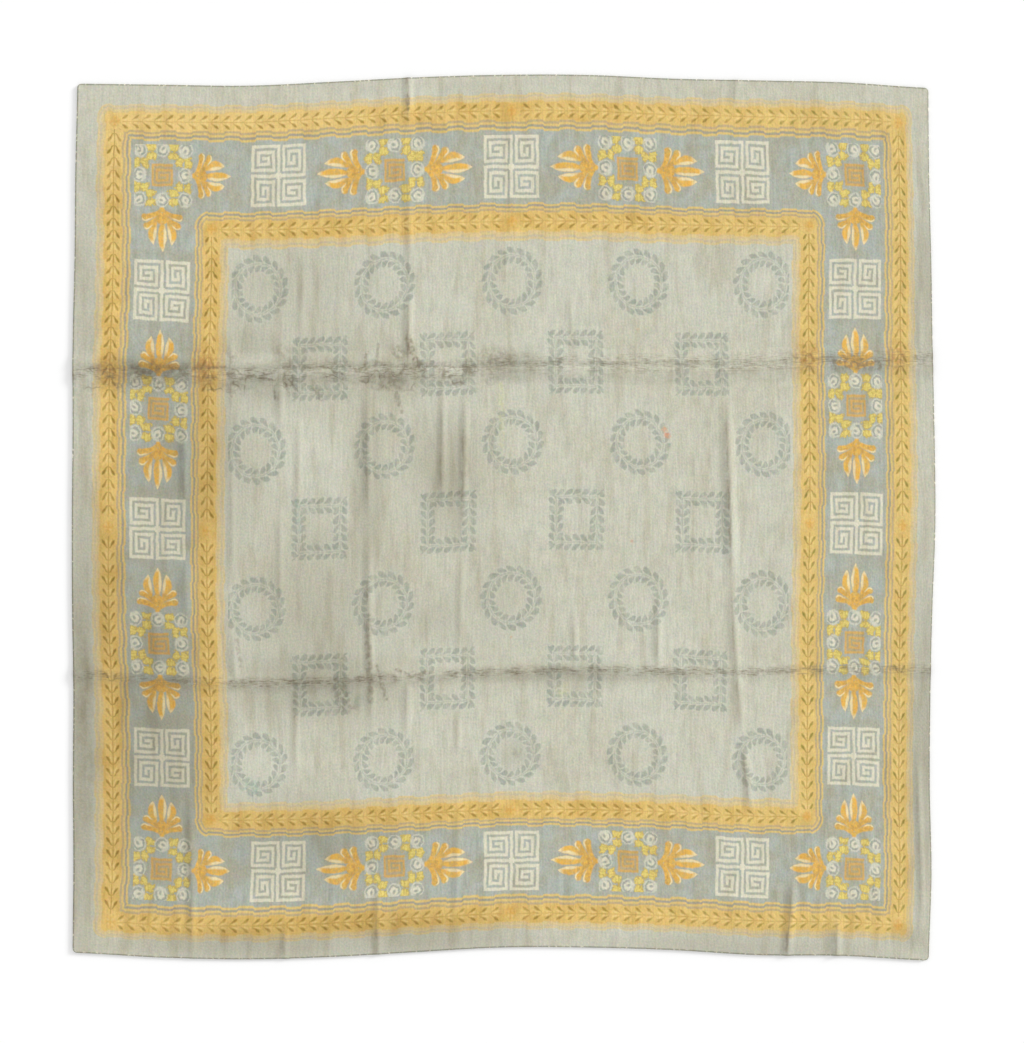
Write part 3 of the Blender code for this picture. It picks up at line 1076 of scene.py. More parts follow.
class Wool:
    """One part's material: its tree with the pile's numbers, and the shader at its end."""

    def __init__(self, name, groups):
        self.material = bpy.data.materials.new(name)
        self.material.use_nodes = True
        tree = self.material.node_tree
        self.shader = tree.nodes["Principled BSDF"]
        self.chart = Chart(tree)
        self.groups = groups
        self.knots = knot_numbers(self.chart)

    def laurel(self, across, along, plump):
        """Draw the laurel."""
        return self.chart.place(self.groups["laurel"], across=across, along=along, plump=plump)

    def plain(self):
        """Return the shared plain wools."""
        return self.chart.place(self.groups["wools"], knots=self.knots)

    def finish(self, colour, dyes):
        """Mark and age the colour, with the painted shade and highlights beside the folds, and feed it
        to the shader.
        """
        chart = self.chart
        colour = marked(self, colour, dyes)
        aged_with_painted_light = chart.place(self.groups["pile"], knots=self.knots, colour=colour)
        bump = chart.node("ShaderNodeBump")
        bump.inputs["Strength"].default_value = RELIEF_STRENGTH
        bump.inputs["Distance"].default_value = RELIEF_DEPTH
        chart.feed(bump.inputs["Height"], aged_with_painted_light["Height"])
        chart.feed(self.shader.inputs["Base Color"], aged_with_painted_light["Colour"])
        chart.tree.links.new(bump.outputs[0], self.shader.inputs["Normal"])
        for name, value in WOOL_SURFACE.items():
            self.shader.inputs[name].default_value = value
        self.shader.location = (chart.COLUMN_GAP * (chart.NODES_IN_A_ROW + 1), 0)
        return self.material


# Marks on the wool, by the wool that they lie on and their dye, each along a short path in millimetres
# from the middle: the wandering dark line of the upper crease and what hangs from it, smudges, and
# small stains
Mark = namedtuple("Mark", "strength half_width path")
MARKS = {
    ("field_wool", "dirt"): (
        Mark(0.50, 5, ((-1396, 790), (-1365, 749), (-1246, 729), (-1179, 718))),
        Mark(0.55, 5, ((-984, 785), (-911, 790), (-875, 754), (-824, 754))),
        Mark(0.50, 8, ((-798, 790), (-752, 760), (-721, 780), (-706, 863))),
        Mark(0.42, 9, ((-716, 775), (-659, 796), (-649, 899))),
        Mark(0.75, 18, ((-492, 925), (-468, 832), (-433, 790))),
        Mark(0.50, 5, ((-433, 790), (-288, 786), (-144, 785))),
        Mark(0.55, 11, ((-1133, 775), (-1128, 688))),
        Mark(0.55, 10, ((-1185, 677), (-1174, 621))),
        Mark(0.40, 14, ((-994, 713), (-942, 621))),
        Mark(0.45, 13, ((-556, 651), (-525, 554))),
        Mark(0.50, 11, ((-314, 801), (-309, 729))),
        Mark(0.35, 15, ((-1402, 832), (-1396, 641))),
        Mark(0.45, 36, ((-556, 863), (-530, 840))),
        Mark(0.24, 40, ((-1150, 860), (-1090, 820))),
        Mark(0.40, 42, ((-660, 713), (-540, 708))),
        Mark(0.35, 50, ((-90, 835), (30, 820))),
        Mark(0.42, 16, ((-703, -600), (-690, -930))),
        Mark(0.45, 11, ((-656, -754), (-608, -924))),
        Mark(0.50, 8, ((-551, -772), (-476, -811), (-402, -780))),
        Mark(0.38, 44, ((-850, -870), (-800, -960))),
        Mark(0.35, 12, ((-1380, -620), (-1360, -750))),
        Mark(0.35, 26, ((67, -1197),)),
    ),
    ("border_wool", "dirt"): (
        Mark(0.52, 28, ((-1950, 772), (-1620, 768))),
        Mark(0.66, 28, ((1690, 797), (1990, 799))),
    ),
    ("field_wool", "stain_orange"): (
        Mark(0.75, 15, ((824, 461), (845, 430))),
        Mark(0.45, 9, ((690, 976),)),
        Mark(0.45, 9, ((654, -111),)),
        Mark(0.40, 9, ((36, -605),)),
    ),
    ("field_wool", "stain_lemon"): (
        Mark(0.35, 16, ((-15, 693), (-10, 384))),
        Mark(0.40, 36, ((304, -873),)),
    ),
    ("field_wool", "stain_teal"): (
        Mark(0.40, 14, ((-1061, 100), (-1056, -54))),
        Mark(0.40, 50, ((-1318, -1378),)),
        Mark(0.35, 30, ((-752, -930),)),
    ),
    ("inner_gold_band", "gold_stain"): (
        Mark(0.60, 80, ((-1540, 780),)),
        Mark(0.55, 70, ((1560, 835),)),
    ),
    ("inner_gold_band", "dirt"): (
        Mark(0.45, 7, ((-1600, 776), (-1440, 788))),
    ),
    ("outer_gold_band", "dirt"): (
        Mark(0.45, 8, ((-2110, 775), (-1960, 772))),
        Mark(0.60, 5, ((-494, 2188), (-494, 2106))),
    ),
    ("outer_gold_band", "gold_stain"): (
        Mark(0.45, 70, ((-2035, 775),)),
        Mark(0.50, 64, ((2015, 840),)),
    ),
    ("margin_wool", "dirt"): (
        Mark(0.90, 9, ((-2133, -2124),)),
    ),
}

# How far a mark strays, in knots, and the shares of its half width at which it starts to fade and at
# which it is gone
MARK_STRAY = 1.6
MARK_FULL = 0.35
MARK_GONE = 1.45


def stroke_group():
    """Build what a soft stroke along a straight run has for its distance, in knots."""
    group, chart, given = new_group(
        "stroke", [("Place", VECTOR), ("Start", VECTOR), ("Run", VECTOR), ("Shorten", NUMBER)],
        [("Away", NUMBER)],
    )
    over = chart.vector("SUBTRACT", given["Place"], given["Start"])
    share = chart.vector("DOT_PRODUCT", over, given["Run"]) * given["Shorten"]
    share.socket.node.use_clamp = True
    away = chart.vector("SUBTRACT", over, chart.vector("SCALE", given["Run"], share))
    end_group(chart, away=chart.vector("LENGTH", away))
    return group


def mark_amount(wool, place, mark):
    """Return how strongly one mark shows at a place."""
    chart = wool.chart
    knots = []
    for place_x, place_y in mark.path:
        x, y = in_outline(np.array([place_x * MM]), np.array([place_y * MM]))
        column = column_of(x)[0]
        knots.append(np.array((column, row_of(column, y)[0], 0.0)))
    if len(knots) == 1:
        away = chart.vector("LENGTH", chart.vector("SUBTRACT", place, knots[0]))
    else:
        away = chart.least(*(
            chart.place(
                wool.groups["stroke"], place=place, start=start,
                run=end - start, shorten=1.0 / ((end - start) @ (end - start)),
            )["Away"]
            for start, end in zip(knots, knots[1:])
        ))
    reach = mark.half_width * MM / KNOT_WIDTH
    return chart.fade(away, reach * MARK_FULL, reach * MARK_GONE, mark.strength)


def marked(wool, colour, dyes):
    """Lay this wool's marks over its colour."""
    chart = wool.chart
    own = {name: marks for (wool_name, name), marks in MARKS.items() if wool_name == wool.material.name}
    if not own:
        return colour
    place = chart.join(*hand_drawn(chart, wool.knots, MARK_STRAY, MARK_HAND))
    worn, _ = chart.noise(wool.knots, MARK_WEAR)
    broken = chart.ramp(worn, 0.36, 0.6, 0.2, 1.0)
    for name, marks in own.items():
        amount = chart.most(*(mark_amount(wool, place, mark) for mark in marks))
        colour = chart.tint(amount * broken, colour, getattr(dyes, name))
    return colour


def margin_wool(groups, dyes):
    """Make the plain margin, with its darker bound edge."""
    wool = Wool("margin_wool", groups)
    chart = wool.chart
    column, row, _ = chart.part(wool.knots)
    from_edge = chart.least(HALF_COLUMNS - abs(column), HALF_ROWS - abs(row))
    edge = chart.ramp(from_edge, 0.6, 1.8, 1.0, 0.0)
    stitches, _ = chart.noise(wool.knots, EDGE_STITCHES)
    bound = chart.tint(chart.ramp(stitches, 0.62, 0.70), dyes.edge, dyes.ivory)
    colour = chart.tint(edge, chart.tint(0.35, wool.plain()["Field"], dyes.margin), bound)
    return wool.finish(colour, dyes)


# A stripe and the dye that it has. Its edges are soft over this many knots on each side.
Stripe = namedtuple("Stripe", "ends_at dye")
CLEAR_SOFT = 0.5
FADED_SOFT = 0.85


def striped(chart, place, stripes, dyes, length):
    """Return the colour of a row of stripes at a place across them."""
    node = chart.node("ShaderNodeValToRGB")
    stops = []
    start = None
    for stripe, after in zip(stripes, stripes[1:] + (None,)):
        dye = getattr(dyes, stripe.dye)
        soft = FADED_SOFT if stripe.dye.startswith("faded") else CLEAR_SOFT
        if start is not None:
            stops.append((start + soft, dye))
        if after is not None:
            stops.append((stripe.ends_at - soft, dye))
        start = stripe.ends_at
    ramp = node.color_ramp
    while len(ramp.elements) < len(stops):
        ramp.elements.new(1.0)
    for element, (position, _) in zip(ramp.elements, stops):
        element.position = position / length
    for element, (_, dye) in zip(ramp.elements, stops):
        element.color = dye
    chart.feed(node.inputs[0], place / length)
    return chart.thread(node.outputs["Color"])


def stripes_of_band(band):
    """Return the stripes of a laurel band, from its outer side inwards."""
    faded = ("faded_gold", "faded_grey", "faded_gold", "faded_tan")
    clear = ("line_tan", "line_gold", "line_grey", "line_gold")
    if band.plain_side_out:
        outer = faded
        inner = clear
    else:
        outer = tuple(reversed(clear))
        inner = tuple(reversed(faded))
    gold_start, gold_end = band.gold
    first = (gold_start - band.start) / len(outer)
    second = (band.end - gold_end) / len(inner)
    stripes = [Stripe(band.start + first * (number + 1), dye) for number, dye in enumerate(outer)]
    stripes.append(Stripe(gold_end, "gold"))
    return stripes + [Stripe(gold_end + second * (number + 1), dye) for number, dye in enumerate(inner)]


def band_depth(chart, band, sizes, along, level, edge_column, edge_row):
    """Return how far in from the carpet's edge a point of a laurel band is, with the band's corners
    made round and its edges stepping in and out."""
    wave = chart.math("SINE", (along - WAVE_LENGTH / 2) * (2 * math.pi / WAVE_LENGTH))
    wave = chart.most(chart.least(wave * -WAVE_STEEPNESS, 1.0), -1.0)
    wave = wave * chart.choose(level, sizes.wave_depth * WAVE_SHARE_DOWN, sizes.wave_depth)
    over_column = band.rounding + band.start - edge_column
    over_row = band.rounding + band.start - edge_row
    corner = chart.distance(chart.most(over_column, 0.0), chart.most(over_row, 0.0))
    straight = chart.least(chart.most(over_column, over_row), 0.0)
    return (band.rounding + band.start) - corner - straight - wave


def band_stripes(chart, band, dyes, plain, depth, column, row, patch):
    """Return a laurel band's wool without its laurel: the stripes, faded towards the plain wool, and
    the gold, browner in patches, brighter to the right and paler at the top left."""
    gold_start, gold_end = band.gold
    base = band.start - 2.0
    shifted = tuple(Stripe(stripe.ends_at - base, stripe.dye) for stripe in stripes_of_band(band))
    colour = striped(chart, depth - base, shifted, dyes, band.end - base + 4.0)
    if band.plain_side_out:
        fading = chart.ramp(depth, band.start - 1.0, gold_start + 1.0)
        on_faded = chart.inside(depth - gold_start, 0.8)
    else:
        fading = chart.ramp(depth, gold_end - 1.0, band.end + 1.0, 1.0, 0.0)
        on_faded = chart.inside(gold_end - depth, 0.8)
    faded = chart.tint(fading * TAN_BESIDE_GOLD, plain["Field"], dyes.faded_tan)
    upper = chart.ramp(row, *band.upper_rows)
    blur = chart.ramp(patch, 0.35, 0.6, 0.1, 0.45) - upper * 0.1
    colour = chart.tint(on_faded * blur, colour, faded)
    gold_middle = (gold_start + gold_end) / 2
    is_gold = chart.inside(abs(depth - gold_middle) - (gold_end - gold_start) / 2, 0.8)
    brighter = chart.ramp(column, *BRIGHTER_COLUMNS)
    colour = chart.tint(is_gold * chart.ramp(patch, 0.42, 0.62) * 0.7, colour, dyes.gold_brown)
    colour = chart.tint(is_gold * brighter * 0.4, colour, dyes.gold_lemon)
    if band.plain_side_out:
        paler = is_gold * upper * chart.ramp(column, *PALER_COLUMNS, 0.4, 0.0)
        colour = chart.tint(paler, colour, dyes.gold_pale)
    return colour, brighter


def rosette(chart, colour, dyes, along, across, patch):
    """Draw the small rose of a band over the colour."""
    heart = chart.inside(chart.distance(along, across) - ROSETTE_HEART, 1.6)
    colour = chart.tint(heart * chart.ramp(patch, 0.3, 0.6, 0.35, 0.8), colour, dyes.rosette)
    petal = chart.distance(abs(along - ROSETTE_PETAL[0]), abs(across - ROSETTE_PETAL[1]))
    petals = chart.inside(petal - ROSETTE_PETAL_SIZE, 0.9) * chart.ramp(patch, 0.4, 0.6, 0.5, 0.2)
    return chart.tint(petals, colour, dyes.gold_pale)


def gold_band(band, groups, dyes, sizes):
    """Make a laurel band: its stripes, its stem with leaf pairs, and a rosette at each corner and
    half-way along each side."""
    wool = Wool(band.name, groups)
    chart = wool.chart
    column, row = hand_drawn(chart, wool.knots, BAND_STRAY)
    far_column = abs(column)
    far_row = abs(row)
    edge_column = HALF_COLUMNS - far_column
    edge_row = HALF_ROWS - far_row
    level = edge_row < edge_column
    along = chart.choose(level, far_row, far_column)
    half_side = chart.choose(level, HALF_ROWS - band.stem, HALF_COLUMNS - band.stem)
    depth = band_depth(chart, band, sizes, along, level, edge_column, edge_row)
    patch, _ = chart.noise(wool.knots, BAND_PATCHES)
    plain = wool.plain()
    colour, brighter = band_stripes(chart, band, dyes, plain, depth, column, row, patch)
    from_stem = abs(chart.choose(level, edge_column, edge_row) - band.stem)
    steps = (along - ROSETTE_CLEARANCE) / sizes.leaf_pitch
    foot = (1.0 - chart.math("FRACT", steps)) * sizes.leaf_pitch - 0.5
    laurel = wool.laurel(from_stem, foot, 0.0)
    clear = (along > ROSETTE_CLEARANCE) * (half_side - along > ROSETTE_CLEARANCE - 1.5)
    worn = chart.ramp(patch, 0.36, 0.62, 0.65, 1.0)
    stem = laurel["Stem"] * clear * chart.choose(level, 0.9, 0.5) * worn
    leaf = laurel["Leaf"] * clear * chart.choose(level, 1.0, 0.85) * worn
    colour = chart.tint(laurel["Shine"] * clear * 0.5, colour, dyes.gold_pale)
    colour = chart.tint(stem, colour, dyes.olive)
    colour = chart.tint(leaf, colour, chart.tint(brighter, dyes.olive_dark, dyes.olive_green))
    rose_along = chart.least(along, abs(half_side - along))
    colour = rosette(chart, colour, dyes, rose_along, from_stem, patch)
    outside, inside = ("Field", "Border") if band.plain_side_out else ("Border", "Field")
    colour = chart.tint(chart.inside(depth - band.start, 0.6), colour, plain[outside])
    colour = chart.tint(chart.inside(band.end - depth, 0.6), colour, plain[inside])
    return wool.finish(colour, dyes)


def key_coordinates(x, y):
    """Turn a point of the Greek key into its first arm's own units, because the key is one arm
    turned four times about its centre."""
    across = x / KEY_UNIT[0]
    down = y / -KEY_UNIT[1]
    top_left = (down < -1.0) * (across < 1.0)
    top_right = (across > 1.0) * (down < 1.0)
    low_right = (down > 1.0) * (across > -1.0)
    low_left = (across < -1.0) * (down > -1.0)
    arm_x = (low_right - top_left) * across + (low_left - top_right) * down
    arm_y = (low_right - top_left) * down + (top_right - low_left) * across
    return arm_x, arm_y


def coil(chart, x, y, path):
    """Return how far a point is from the line of a square coil, in its units."""
    nearest = None
    for (x_start, y_start), (x_end, y_end) in zip(path, path[1:]):
        half_x = abs(x_end - x_start) / 2
        half_y = abs(y_end - y_start) / 2
        over = abs(x - (x_start + x_end) / 2)
        up = abs(y - (y_start + y_end) / 2)
        stroke = chart.most(over - half_x if half_x else over, up - half_y if half_y else up)
        nearest = stroke if nearest is None else chart.least(nearest, stroke)
    return nearest


def club(chart, x, y, start, end, start_radius, end_radius, bend=0.0):
    """Return how far outside a club a point is, how far across it and how far along it: a stalk that
    swells from its start to its round end, with its middle carried sideways by the bend."""
    run = (end[0] - start[0], end[1] - start[1])
    length = math.hypot(*run)
    over = x - start[0]
    up = y - start[1]
    share = over * (run[0] / length ** 2) + up * (run[1] / length ** 2)
    share = chart.most(chart.least(share, 1.0), 0.0)
    side = over * (run[1] / length) - up * (run[0] / length)
    path_x = share * run[0]
    path_y = share * run[1]
    if bend:
        bulge = share * (1.0 - share) * (4.0 * bend)
        side = side - bulge
        path_x = path_x + bulge * (run[1] / length)
        path_y = path_y - bulge * (run[0] / length)
    away = chart.distance(over - path_x, up - path_y)
    return away - (share * share * (end_radius - start_radius) + start_radius), side, share


# A palmette's parts, in knots along from its foot and across from its middle: the lobe in the middle,
# the long lobe on each side of it, the foot, and the clubs on each side, from the lowest up
MIDDLE_LOBE = Lobe((11.0, 0.0), (51.4, 0.0), 4.3, 1.25, 0.0)
LONG_LOBE = Lobe((12.5, 3.2), (43.5, 9.6), 4.4, 1.35, 3.6)
Club = namedtuple("Club", "start end start_radius end_radius bend")
FOOT = Club((2.6, 0.0), (14.5, 0.0), 2.6, 6.0, 0.0)
CLUBS = (
    Club((5.0, 1.4), (12.4, 17.5), 2.3, 4.2, 1.4),
    Club((11.5, 3.6), (22.0, 15.9), 2.2, 4.0, 0.6),
)


def palmette(chart, colour, dyes, along, across, shown):
    """Draw a palmette that grows along from its foot, over the colour."""
    side = abs(across)
    foot, _, _ = club(chart, along, across, *FOOT)
    foot = chart.most(foot, 0.9 - chart.distance(along - 6.5, side))
    middle, middle_side, middle_share = lobe(chart, along, across, *MIDDLE_LOBE)
    long_edge, long_side, long_share = lobe(chart, along, side, *LONG_LOBE)
    shape = chart.least(foot, middle, long_edge)
    middle_pale = chart.most(chart.inside(middle_side + 1.5, 0.8), chart.ramp(middle_share, 0.84, 0.95))
    pale = chart.inside(middle) * middle_pale * chart.ramp(middle_share, 0.2, 0.4)
    tip = chart.ramp(long_share, 0.80, 0.94)
    inner = chart.inside(1.5 - long_side, 0.8) * chart.ramp(long_share, 0.25, 0.5)
    pale = chart.most(pale, chart.inside(long_edge) * chart.most(inner, tip))
    for item in CLUBS:
        edge, club_side, club_share = club(chart, along, side, *item)
        shape = chart.least(shape, edge)
        bright = chart.ramp(edge, -2.0, -1.0) * chart.ramp(club_side, -1.5, 0.6)
        bright = bright * chart.ramp(club_share, 0.6, 0.9, 0.0, 1.0)
        pale = chart.most(pale, chart.inside(edge) * bright)
    _, dapple = chart.noise(chart.join(along, across), PALMETTE_DAPPLES)
    dapples = chart.part(dapple)
    orange = chart.tint(chart.ramp(dapples[0], 0.42, 0.6), dyes.orange, dyes.orange_brown)
    shade = chart.inside(abs(along - 14.0) - 8.0, 5.0) * chart.ramp(dapples[1], 0.4, 0.6)
    orange = chart.tint(shade * 0.5, orange, dyes.palmette_shade)
    colour = chart.tint(chart.inside(shape, 0.8) * shown, colour, orange)
    return chart.tint(pale * shown * 0.9, colour, dyes.orange_pale)


def leaf_pairs(chart, colour, dyes, sizes, x, y, dapple, shown):
    """Draw the leaf pairs between the roses of a rose square over the colour."""
    side = chart.most(abs(x), abs(y))
    along = abs(chart.least(abs(x), abs(y)) - sizes.rose_step / 2)
    across = side - (sizes.rose_step - LEAVES_INWARDS)
    apart = abs(abs(across) - LEAF_ASIDE)
    notched = along * 0.86 + abs(across) * -0.12
    blunt = chart.most(apart, notched)
    leaf = chart.distance(apart, notched) * 0.7 + blunt * 0.3 - LEAF_SIZE + (dapple - 0.5) * 7.5
    leafy = chart.inside(leaf, 0.8) * shown
    colour = chart.tint(leafy, colour, dyes.lemon_dark)
    colour = chart.tint(chart.inside(leaf + 1.1, 0.9) * shown, colour, dyes.lemon)
    vein = chart.inside(abs(along - 1.6 + (dapple - 0.5) * 4.0) - 0.5, 0.6)
    specks = chart.most(chart.ramp(dapple, 0.57, 0.67), vein * 0.7)
    return chart.tint(leafy * specks * 0.75, colour, dyes.lemon_dark)


def roses(chart, colour, dyes, sizes, x, y, seed, dapple, shown):
    """Draw the eight roses of a rose square over the colour, each turned its own way."""
    across = chart.math("ROUND", x / sizes.rose_step)
    up = chart.math("ROUND", y / sizes.rose_step)
    ring_number = chart.most(abs(across), abs(up))
    on_ring = (ring_number > 0.5) * (ring_number < 1.5) * shown
    over_x = x - across * sizes.rose_step
    over_y = y - up * sizes.rose_step
    turns = chart.node("ShaderNodeTexWhiteNoise", noise_dimensions="2D")
    chart.feed(turns.inputs["Vector"], chart.join(across + seed * ROSES_APART, up))
    turn = chart.thread(turns.outputs["Value"]) * (2 * math.pi)
    cosine = chart.math("COSINE", turn)
    sine = chart.math("SINE", turn)
    turned_x = over_x * cosine + over_y * sine
    turned_y = over_y * cosine - over_x * sine
    radius = chart.distance(over_x, over_y) + (dapple - 0.5) * 3.4
    rose = chart.inside(radius - sizes.rose_radius, 0.8) * on_ring
    petals = rose * chart.ramp(dapple, 0.30, 0.45, 0.5, 1.0) * 0.92
    colour = chart.tint(petals, colour, dyes.rose)
    colour = chart.tint(rose * chart.inside(radius - ROSE_HEART), colour, dyes.ivory)
    crescent = chart.inside(abs(radius - CRESCENT_RADIUS) - CRESCENT_HALF_WIDTH, 0.7)
    crescent = crescent * chart.inside(turned_x - 2.4, 1.5)
    from_eye = chart.distance((turned_x - ROSE_EYE[0]) * 0.6, turned_y - ROSE_EYE[1])
    eye = chart.inside(from_eye - ROSE_EYE_SIZE)
    return chart.tint(rose * chart.most(crescent, eye) * 0.8, colour, dyes.rose_grey)


def rose_square(chart, colour, dyes, sizes, x, y, seed, shown):
    """Draw a rose square over the colour: leaf pairs, and eight roses over their ends."""
    dapple, _ = chart.noise(chart.join(x + seed * SQUARES_APART, y), ROSE_DAPPLES)
    colour = leaf_pairs(chart, colour, dyes, sizes, x, y, dapple, shown)
    return roses(chart, colour, dyes, sizes, x, y, seed, dapple, shown)


def greek_key(chart, colour, dyes, x, y, shown):
    """Draw a Greek key over the colour."""
    key_x, key_y = key_coordinates(x, y)
    key = chart.inside(coil(chart, key_x, key_y, KEY_ARM) - KEY_LINE, 0.22)
    return chart.tint(key * shown, colour, dyes.ivory)


def square_spiral(chart, colour, dyes, x, y, shown):
    """Draw the square spiral in the middle of a rose square, and its ground, over the colour."""
    ground = chart.inside(chart.most(abs(x) - SPIRAL_GROUND[0], abs(y) - SPIRAL_GROUND[1]))
    colour = chart.tint(ground * shown * 0.7, colour, dyes.spiral_ground)
    spiral_x = SPIRAL_MIDDLE[0] + x / SPIRAL_UNIT[0]
    spiral_y = SPIRAL_MIDDLE[1] - y / SPIRAL_UNIT[1]
    spiral = chart.inside(coil(chart, spiral_x, spiral_y, SPIRAL) - SPIRAL_LINE, 0.3)
    return chart.tint(spiral * shown * 0.9, colour, dyes.spiral)


def border_wool(groups, dyes, sizes):
    """Make the border's ground with its rose squares, palmettes and Greek keys."""
    wool = Wool("border_wool", groups)
    chart = wool.chart
    column, row = hand_drawn(chart, wool.knots, BORDER_STRAY)
    far_column = HALF_COLUMNS - abs(column)
    far_row = HALF_ROWS - abs(row)
    level = far_row < far_column
    number_across = chart.math("ROUND", column / MOTIF_COLUMNS)
    number_up = chart.math("ROUND", row / MOTIF_ROWS)
    line_column = HALF_COLUMNS - MOTIF_LINE
    line_row = HALF_ROWS - MOTIF_LINE
    right = chart.math("SIGN", column)
    up = chart.math("SIGN", row)
    x = chart.choose(level, column - right * line_column, column - number_across * MOTIF_COLUMNS)
    y = chart.choose(level, row - number_up * MOTIF_ROWS, row - up * line_row)
    number = chart.choose(level, number_up, number_across)
    is_rose = chart.math("MODULO", abs(number), 2.0)
    along = abs(chart.choose(level, y, x))
    pitch = chart.choose(level, MOTIF_ROWS, MOTIF_COLUMNS)
    from_rose = chart.choose(is_rose, pitch - along, along)
    inwards = chart.choose(level, far_column, far_row) - MOTIF_LINE
    colour = wool.plain()["Border"]
    in_corner = abs(column) > MOTIF_COLUMNS * 2
    share_across = chart.choose(in_corner, 1.0, PALMETTE_SHARE_IN_CORNERS)
    share = chart.choose(level, PALMETTE_SHARE_DOWN, share_across)
    grown = (from_rose - sizes.palmette_start) / share
    colour = palmette(chart, colour, dyes, grown, inwards, 1.0)
    seed = number + chart.choose(level, right, up * 3.0)
    colour = rose_square(chart, colour, dyes, sizes, x, y, seed, is_rose)
    colour = greek_key(chart, colour, dyes, x, y, 1.0 - is_rose)
    colour = square_spiral(chart, colour, dyes, x, y, is_rose)
    return wool.finish(colour, dyes)


def round_wreaths(chart, column, row, stem_radius):
    """Return how far a point is from the middle of its round wreath, how far across the stem, and
    how far along from the foot of a pair of leaves."""
    x = column - chart.math("ROUND", column / WREATH_COLUMNS) * WREATH_COLUMNS
    lifted = row - WREATH_ROWS / 2
    y = lifted - chart.math("ROUND", lifted / WREATH_ROWS) * WREATH_ROWS
    stretch = KNOT_HEIGHT / KNOT_WIDTH
    even_x = x / stretch ** 0.5
    even_y = y * (stretch ** 0.5 / ROUND_TALLER)
    radius = chart.distance(even_x, even_y)
    turn = chart.math("ARCTAN2", even_y, even_x) * (ROUND_LEAF_PAIRS / (2 * math.pi))
    pitch = 2 * math.pi * stem_radius / ROUND_LEAF_PAIRS
    return radius, radius - stem_radius, chart.math("FRACT", turn + ROUND_LEAF_PAIRS) * pitch


def square_wreaths(chart, column, row):
    """Return how far a point is across the stem of its square wreath, and how far along from the foot
    of a pair of leaves."""
    moved = column - WREATH_COLUMNS / 2
    x = moved - chart.math("ROUND", moved / WREATH_COLUMNS) * WREATH_COLUMNS
    y = row - chart.math("ROUND", row / WREATH_ROWS) * WREATH_ROWS
    over_x = abs(x) - SQUARE_STEM[0]
    over_y = abs(y) - SQUARE_STEM[1]
    clockwise = chart.choose(
        over_x > over_y, chart.math("SIGN", y) * x, chart.math("SIGN", x) * y * -1.0
    )
    along = chart.math("FRACT", (clockwise + SQUARE_STEM[0]) / SQUARE_LEAF_PITCH)
    return chart.most(over_x, over_y), along * SQUARE_LEAF_PITCH


def field_wool(groups, dyes, sizes):
    """Make the field with its round and square wreaths."""
    wool = Wool("field_wool", groups)
    chart = wool.chart
    column, row = hand_drawn(chart, wool.knots, FIELD_STRAY)
    stem_radius = sizes.round_wreath_radius
    radius, round_across, round_along = round_wreaths(chart, column, row, stem_radius)
    square_across, square_along = square_wreaths(chart, column, row)
    is_round = radius < stem_radius + ROUND_WREATH_MARGIN
    across = abs(chart.choose(is_round, square_across, round_across))
    along = chart.choose(is_round, square_along, round_along)
    laurel = wool.laurel(across, along * WREATH_LEAF_STRETCH, WREATH_LEAF_PLUMP)
    fade, _ = chart.noise(wool.knots, WREATH_FADING)
    strength = chart.ramp(fade, 0.3, 0.7, 0.55, 1.0)
    ring = chart.fade(across, 7.0, 11.0)
    colour = chart.tint(ring * 0.2, wool.plain()["Field"], dyes.wreath_ground)
    colour = chart.tint(laurel["Stem"] * strength * 0.6, colour, dyes.wreath)
    colour = chart.tint(laurel["Leaf"] * strength * 0.8, colour, dyes.wreath)
    return wool.finish(colour, dyes)


def knotted_back(groups, dyes):
    """Make the back of the knotting: the pattern's wool in even rows, dulled by the linen warps."""
    wool = Wool("knotted_back", groups)
    chart = wool.chart
    _, row, _ = chart.part(wool.knots)
    ridge = abs(chart.math("FRACT", row) - 0.5) * 2.0
    colour = chart.tint(ridge * 0.35, wool.plain()["Field"], dyes.linen)
    return wool.finish(colour, dyes)


def dye_wools(settings, sizes, wear):
    """Make every material of the carpet, by name."""
    dyes = Dyes(settings)
    groups = {
        "laurel": laurel_group(), "stroke": stroke_group(), "wools": wools_group(dyes),
        "pile": pile_group(dyes, wear),
    }
    wools = (
        margin_wool(groups, dyes), gold_band(OUTER_BAND, groups, dyes, sizes),
        border_wool(groups, dyes, sizes), gold_band(INNER_BAND, groups, dyes, sizes),
        field_wool(groups, dyes, sizes), knotted_back(groups, dyes),
    )
    return {wool.name: wool for wool in wools}


def dye(name, description, red, green, blue):
    """Return a setting for a dye, as the eye sees it, from shares of 255."""
    return FloatVectorProperty(
        name=name, description=description, subtype="COLOR_GAMMA", size=3, min=0.0, max=1.0,
        default=(red / 255, green / 255, blue / 255),
    )


def knot_size(name, description, default):
    """Return a setting for a size in knots."""
    return FloatProperty(name=name, description=description, default=default, min=0.1, max=100.0)


